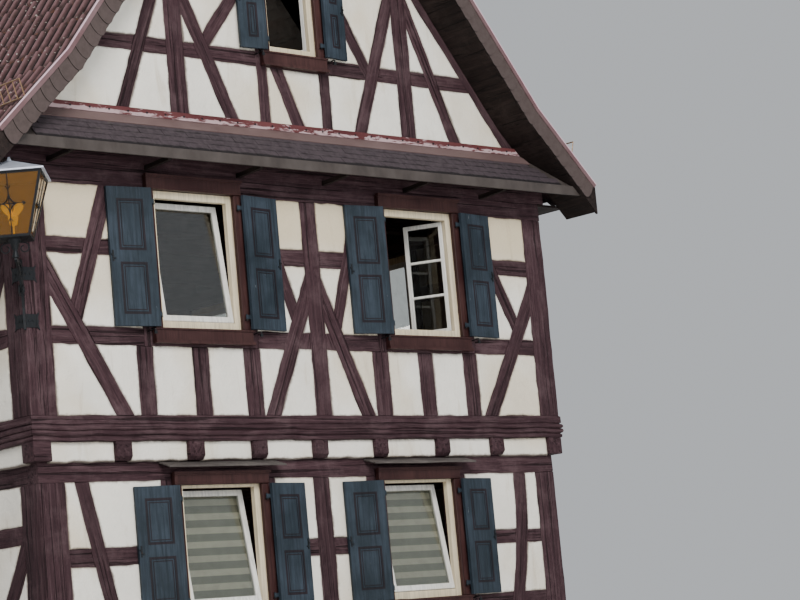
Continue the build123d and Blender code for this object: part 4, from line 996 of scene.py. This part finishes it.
def shutter_details(node):
    """Panel mouldings, the wide outer ones painted dark as the shade in the recesses, and a latch for one leaf: x
    from its hinged edge, y out of its faces, z up.
    """
    body = node + "_leaf"
    side = leaf_side(body)
    place = shifted(pins[body].x, pins[body].y, 0) @ spun("Z", side * shutter_open)
    low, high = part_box(node)
    width = gable_leaf_width if "gable" in node else leaf_width
    half = (low.z + high.z) / 2
    near, far = pin_to_edge + stile, pin_to_edge + width - stile
    shown = pin_to_face + leaf_thickness

    def bar(stock, left, right, under, over, back, front):
        xs = sorted((-side * left, -side * right))
        stock.block((xs[0], back, under), (xs[1], front, over), place)

    stock = Stock()
    for back in (pin_to_face - 0.001, shown - 0.009):
        for bottom, top in ((low.z + rail, half - rail / 2), (half + rail / 2, high.z - rail)):
            # The wide outer strip is painted shade in the recess round each field; the thin inner one is the plum
            # moulding
            for inset, wide in ((0, 0.024), (0.040, 0.009)):
                a, b, c, d = near + inset, far - inset, bottom + inset, top - inset
                for left, right, under, over in ((a, a + wide, c, d), (b - wide, b, c, d),
                                                 (a + wide, b - wide, c, c + wide),
                                                 (a + wide, b - wide, d - wide, d)):
                    bar(stock, left, right, under, over, back, back + 0.0095)
    put(node + "_mouldings", stock, moulding_and_recess_shade_paint, body)
    iron = Stock()
    edge = pin_to_edge + width
    for left, right, under, over, deep in ((0.034, 0.018, -0.055, 0.055, 0.006), (0.030, 0.004, 0.006, 0.020, 0.012),
                                           (0.055, 0.028, -0.030, -0.020, 0.012)):
        bar(iron, edge - left, edge - right, half + under, half + over, shown - 0.001, shown + deep)
    put(node + "_latch", iron, black_iron, body)


holdback_bend = ((-0.03, 0.02), (0.05, 0.015), (0.105, 0.006), (0.125, 0.010), (0.130, 0.030), (0.122, 0.048))


def holdbacks():
    """A forged catch in the wall under every leaf that stands open."""
    stock = Stock()
    for body, pin in pins.items():
        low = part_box(body.removesuffix("_leaf"))[0]
        wall = -half_depth + (ground_inset if "ground" in body else 0.0)
        x = pin.x + leaf_side(body) * 0.13
        z = low.z - 0.020
        stock.wire([(x, wall - out, z - drop) for out, drop in holdback_bend], 0.006)
        stock.block((x - 0.016, wall - 0.135, z - 0.060), (x + 0.016, wall - 0.118, z - 0.030))
    put("shutter_holdbacks", stock, black_iron, smooth=40)


def shutters():
    for node in sorted(nodes):
        if node.endswith("_shutter"):
            worked(node + "_leaf_painted", node, shutter_paint, "shutter_paint", 0.003, body=node + "_leaf")
            shutter_details(node)


# Blinds
blind_rows, blind_columns, blind_folds = 44, 8, 11
blind_thick, blind_wave, blind_margin = 0.0012, 0.0012, 0.004


def blind(name, points):
    """A hung cloth with slight waves between the edges of a solid, closed all round."""
    middle = sum(points, Vector()) / len(points)
    left, right = min(p.x for p in points) + 0.002, max(p.x for p in points) - 0.002
    feet = sorted((p for p in points if p.z < middle.z), key=lambda p: p.y)
    heads = sorted((p for p in points if p.z > middle.z), key=lambda p: p.y)
    foot = (feet[0] + feet[-1]) / 2
    up = (heads[0] + heads[-1]) / 2 - foot
    up.x = 0
    length = up.length - 2 * blind_margin
    up.normalize()
    out = Vector((1, 0, 0)).cross(up)
    placed = []
    for thick in (0, blind_thick):
        for row in range(blind_rows + 1):
            lift = blind_wave * math.sin(math.tau * row / blind_rows * blind_folds) + thick
            rise = up * (blind_margin + length * row / blind_rows)
            for column in range(blind_columns + 1):
                x = left + (right - left) * (column / blind_columns)
                placed.append(Vector((x, foot.y, foot.z)) + rise - out * lift)
    across = blind_columns + 1
    back = across * (blind_rows + 1)
    faces = []
    for row in range(blind_rows):
        for column in range(blind_columns):
            a = row * across + column
            quad = [a, a + 1, a + across + 1, a + across]
            faces += [quad, [back + i for i in quad[::-1]]]
    top = blind_rows * across
    rim = list(range(blind_columns)) + [blind_columns + across * row for row in range(blind_rows)]
    rim += [top + column for column in range(blind_columns, 0, -1)]
    rim += [across * row for row in range(blind_rows, 0, -1)]
    faces += [[b, a, back + a, back + b] for a, b in zip(rim, rim[1:] + rim[:1])]
    stock = Stock()
    stock.add(placed, faces)
    piece = put(name, stock, blind_cloth, stands_for=["roller_blinds"], smooth=60)


def blinds():
    for index, small in enumerate(sorted(solids_of("roller_blinds"), key=lambda solid: solid.verts[0].co.x)):
        blind(f"blind_{index + 1}", [vert.co.copy() for vert in small.verts])
        small.free()


# Windows by storey: bottom and top of the clear opening, height of the head board; then place and width of each
storeys = {"ground": (1.320, 2.607, 0.130), "upper": (4.180, 5.600, 0.150), "gable": (7.210, 8.340, 0.120)}
front_windows = [("ground", -1.380, 1.05), ("ground", 1.394, 1.05), ("upper", -1.524, 1.05), ("upper", 1.666, 1.05),
                 ("gable", 0.023, 0.696)]
side_windows = [(storey, x, 1.05) for storey in ("ground", "upper") for x in (-1.634, 1.634)]
casing_width, head_proud, apron_height, apron_lip = 0.09, 0.068, 0.155, 0.018


def wall_windows():
    """Every window with the place of its wall: x along the wall, y into the house."""
    for turn, distance, windows in ((0, half_depth, front_windows),
                                    (180, half_depth, front_windows[:1] + front_windows[2:]),
                                    (90, half_width, side_windows), (-90, half_width, side_windows)):
        for storey, x, width in windows:
            reach = distance - (ground_inset if storey == "ground" else 0)
            yield spun("Z", turn) @ shifted(x, -reach, 0), storey, width


def casing_mouldings():
    """Crown and bead over each head board, a lip under each apron and a bead round the opening."""
    stock = Stock()
    for place, storey, width in wall_windows():
        bottom, top, head = storeys[storey]
        side = width / 2 + casing_width
        lip = side + apron_lip
        crown = top + head
        sill = bottom - apron_height
        for half, proud, low, high in (
                (side + 0.016, 0.018, crown - 0.020, crown + 0.002),
                (side + 0.008, 0.009, crown - 0.034, crown - 0.020),
                (side - 0.012, 0.005, top + 0.020, top + 0.028),
                (lip + 0.010, 0.016, sill - 0.002, sill + 0.024),
                (lip + 0.004, 0.008, sill + 0.024, sill + 0.036),
                (lip + 0.008, 0.012, bottom - 0.020, bottom - 0.002)):
            stock.block((-half, -head_proud - proud, low), (half, -0.04, high), place)
        for edge in (-width / 2 - 0.016, width / 2 + 0.006):
            stock.block((edge, -0.055, bottom + 0.004), (edge + 0.010, -0.045, top - 0.004), place)
    put("casing_mouldings", stock, casing_paint)


def snow_guards():
    """A lattice of bars that stands on hooks near the eave of each roof side."""
    foot, low, high = (3.82, 6.250), (3.835, 6.295), (3.885, 6.465)
    end = half_depth + 0.472
    count = round(2 * end / 0.115)
    for side, word in ((-1, "left"), (1, "right")):
        stock = Stock()
        for x, z in (low, high):
            stock.wire([(side * x, share * end, z) for share in (-1, -0.5, 0, 0.5, 1)], 0.008)
        for index in range(count + 1):
            y = -end + 2 * end * index / count
            stock.wire([(side * x, y, z) for x, z in (foot if index % 8 == 0 else low, high)], 0.006, 5)
        put(f"snow_guard_{word}", stock, rusty_iron)


def door_handle():
    stock = Stock()
    place = spun("Z", 180) @ shifted(1.394 + 0.36, -half_depth + ground_inset, 0)
    stock.block((-0.022, 0.002, 1.52), (0.022, 0.012, 1.74), place)
    stock.wire([place @ Vector(point) for point in ((0, 0.01, 1.67), (0, -0.05, 1.67), (-0.03, -0.058, 1.67),
                                                    (-0.12, -0.058, 1.665))], 0.009, 8)
    put("door_handle", stock, black_iron)


# Lantern
lantern_place = shifted(-half_width, -half_depth, 0) @ spun("Z", -131)
lantern_out, lantern_foot, lantern_high = 0.42, 4.93, 0.60
lantern_narrow, lantern_wide = 0.165, 0.325
star_reach, star_high, bar_reach = 0.075, 0.50, 0.15
strap_levels = (4.215, 4.675)
strap = [(0.128, -0.060), (0.168, -0.088), (0.150, -0.030), (0.158, 0.0), (0.150, 0.030), (0.168, 0.088),
         (0.128, 0.060)]


def curl(across, up, radius, shrink, start, step, count):
    """Points of a bar that winds inwards."""
    points = []
    for index in range(count):
        turn = math.radians(start + step * index)
        size = radius - shrink * index
        points.append((across + size * math.cos(turn), up + size * math.sin(turn)))
    return points


def lantern_ornament():
    """A four-pointed star of bent bars on a cross, on each of the lantern's faces."""
    iron = Stock()
    for quarter in range(4):
        turned = lantern_place @ shifted(lantern_out, 0, 0) @ spun("Z", 90 * quarter)

        def face(across, share):
            half = lantern_narrow + (lantern_wide - lantern_narrow) * share
            return turned @ Vector((half + 0.004, across, lantern_foot + lantern_high * share))

        iron.wire([face(0, share) for share in (0.02, 0.35, 0.65, 0.98)], 0.0045)
        iron.wire([face(across, star_high) for across in (-bar_reach, 0, bar_reach)], 0.004)
        for a, b in ((1, 1), (1, -1), (-1, 1), (-1, -1)):
            curve = []
            for step in range(7):
                turn = math.radians(90 * step / 6)
                rise = (1 - math.cos(turn)) * star_reach * 1.35 / lantern_high
                curve.append(face(a * star_reach * (1 - math.sin(turn)), star_high + b * rise))
            iron.wire(curve, 0.0045)
            iron.wire([face(0, star_high + b * 0.22), face(a * 0.022, star_high + b * 0.27)], 0.004)
            iron.wire([face(a * bar_reach, star_high), face(a * (bar_reach - 0.03), star_high + b * 0.028)], 0.004)
    put("lantern_ornament", iron, black_iron, smooth=60)


def lantern_lamps():
    """Two glowing bulbs that lean apart on one turned stem."""
    lamps = Stock()
    middle = lantern_place @ shifted(lantern_out, 0, lantern_foot)
    lamps.revolved([(0.030, 0.018), (0.008, 0.030), (0.008, 0.130), (0.036, 0.142), (0.044, 0.175), (0.050, 0.215),
                    (0.030, 0.225)], middle)
    for degrees in (-30, 30):
        lamps.revolved([(0.016, 0.0), (0.024, 0.04), (0.036, 0.08), (0.042, 0.12), (0.036, 0.15), (0.018, 0.172),
                        (0.004, 0.180)], middle @ shifted(0, 0, 0.20) @ spun("X", degrees))
    put("lantern_lamps", lamps, lamp_glass, smooth=60)


def bracket_irons():
    """Scrolls beside the bracket, and the cusped straps that hold it, with their bolts."""
    curls = Stock()
    for side in (-1, 1):
        loop = [(lantern_out, side * 0.02, 4.905)]
        loop += [(lantern_out, side * across, z) for across, z in curl(0.085, 4.845, 0.055, 0.0026, 100, -30, 13)]
        scroll = [(x, side * 0.020, z) for x, z in curl(0.10, 4.50, 0.060, 0.003, -90, 32, 15)]
        for path, radius in ((loop, 0.006), (scroll, 0.007)):
            curls.wire([lantern_place @ Vector(point) for point in path], radius)
    corner = shifted(-half_width, -half_depth, 0)
    for level in strap_levels:
        curls.plate(strap, 0.006, corner @ shifted(0, 0, level) @ spun("X", 90))
        curls.plate(strap[::-1], 0.006, corner @ shifted(0, 0, level) @ axes((0, 1, 0), (0, 0, 1), (-1, 0, 0)))
    put("bracket_scrolls", curls, black_iron, smooth=50)
    spots = [(level, place) for level in strap_levels for place in (0.045, 0.095)]
    front = [corner @ shifted(place, -0.005, level) @ spun("X", 90) for level, place in spots]
    left = [corner @ shifted(-0.005, place, level) @ spun("Y", -90) for level, place in spots]
    lay("bracket_bolts", nail_unit(), front + left, black_iron, 0.05, 41)


# Hewn timbers: name, node, how far they stray
hewn_timbers = (("hewn_posts", "wall_posts", 0.015), ("hewn_rails", "wall_rails", 0.016),
                ("hewn_braces", "wall_braces", 0.017), ("hewn_counter_braces", "counter_braces", 0.017),
                ("hewn_sills", "ground_sills", 0.010), ("hewn_ground_plates", "ground_plates", 0.012),
                ("hewn_upper_plates", "upper_plates", 0.010), ("hewn_joists", "floor_joists", 0.012),
                ("hewn_tie_beams", "tie_beams", 0.006), ("hewn_end_rafters", "end_rafters", 0.008))
# Plastered panels and their depth
panels = (("ground_wall_panels", 0.156), ("upper_wall_panels", 0.156), ("gable_panels", 0.156),
          ("joist_panels", 0.120))
# Painted joinery: name, node, finish, slot, rounding of the edges
joinery = (("painted_casings", "window_casings", casing_paint, "casing_wood", 0.006),
           ("painted_frames", "window_frames", cream_paint, "frame_white", 0.004),
           ("painted_sashes", "window_sashes", white_paint, "frame_white", 0.006),
           ("door_frame_painted", "door_frame", casing_paint, "casing_wood", 0.006),
           ("door_leaf_painted", "back_door", casing_paint, "door_wood", 0.005))


def main():
    set_camera()
    set_studio()
    paint_nodes()
    for seed, (name, node, wobble) in enumerate(hewn_timbers):
        worked(name, node, timber, "timber", 0.012, wobble, seed=seed, segments=2)
    worked("moulded_sill_beams", "moulded_beams", timber, "timber", 0, 0.012, seed=20)
    for node, depth in panels:
        plastered("plaster_" + node, node, depth)
    for piece in joinery:
        worked(*piece)
    worked("canopy_boards", "window_canopies", raw_board, "dark_board", 0.004, 0.006, 0.25)
    for side, word in ((-1, "left"), (1, "right")):
        tiled(side, f"tiles_{word}", f"roof_{word}")
        deck(side, f"deck_{word}")
    ridge_tiles()
    clad_verges()
    pent_roof()
    nails()
    shutters()
    holdbacks()
    casing_mouldings()
    snow_guards()
    door_handle()
    lantern_ornament()
    lantern_lamps()
    bracket_irons()
    blinds()
    lay_floor()


main()
bpy.context.view_layer.update()
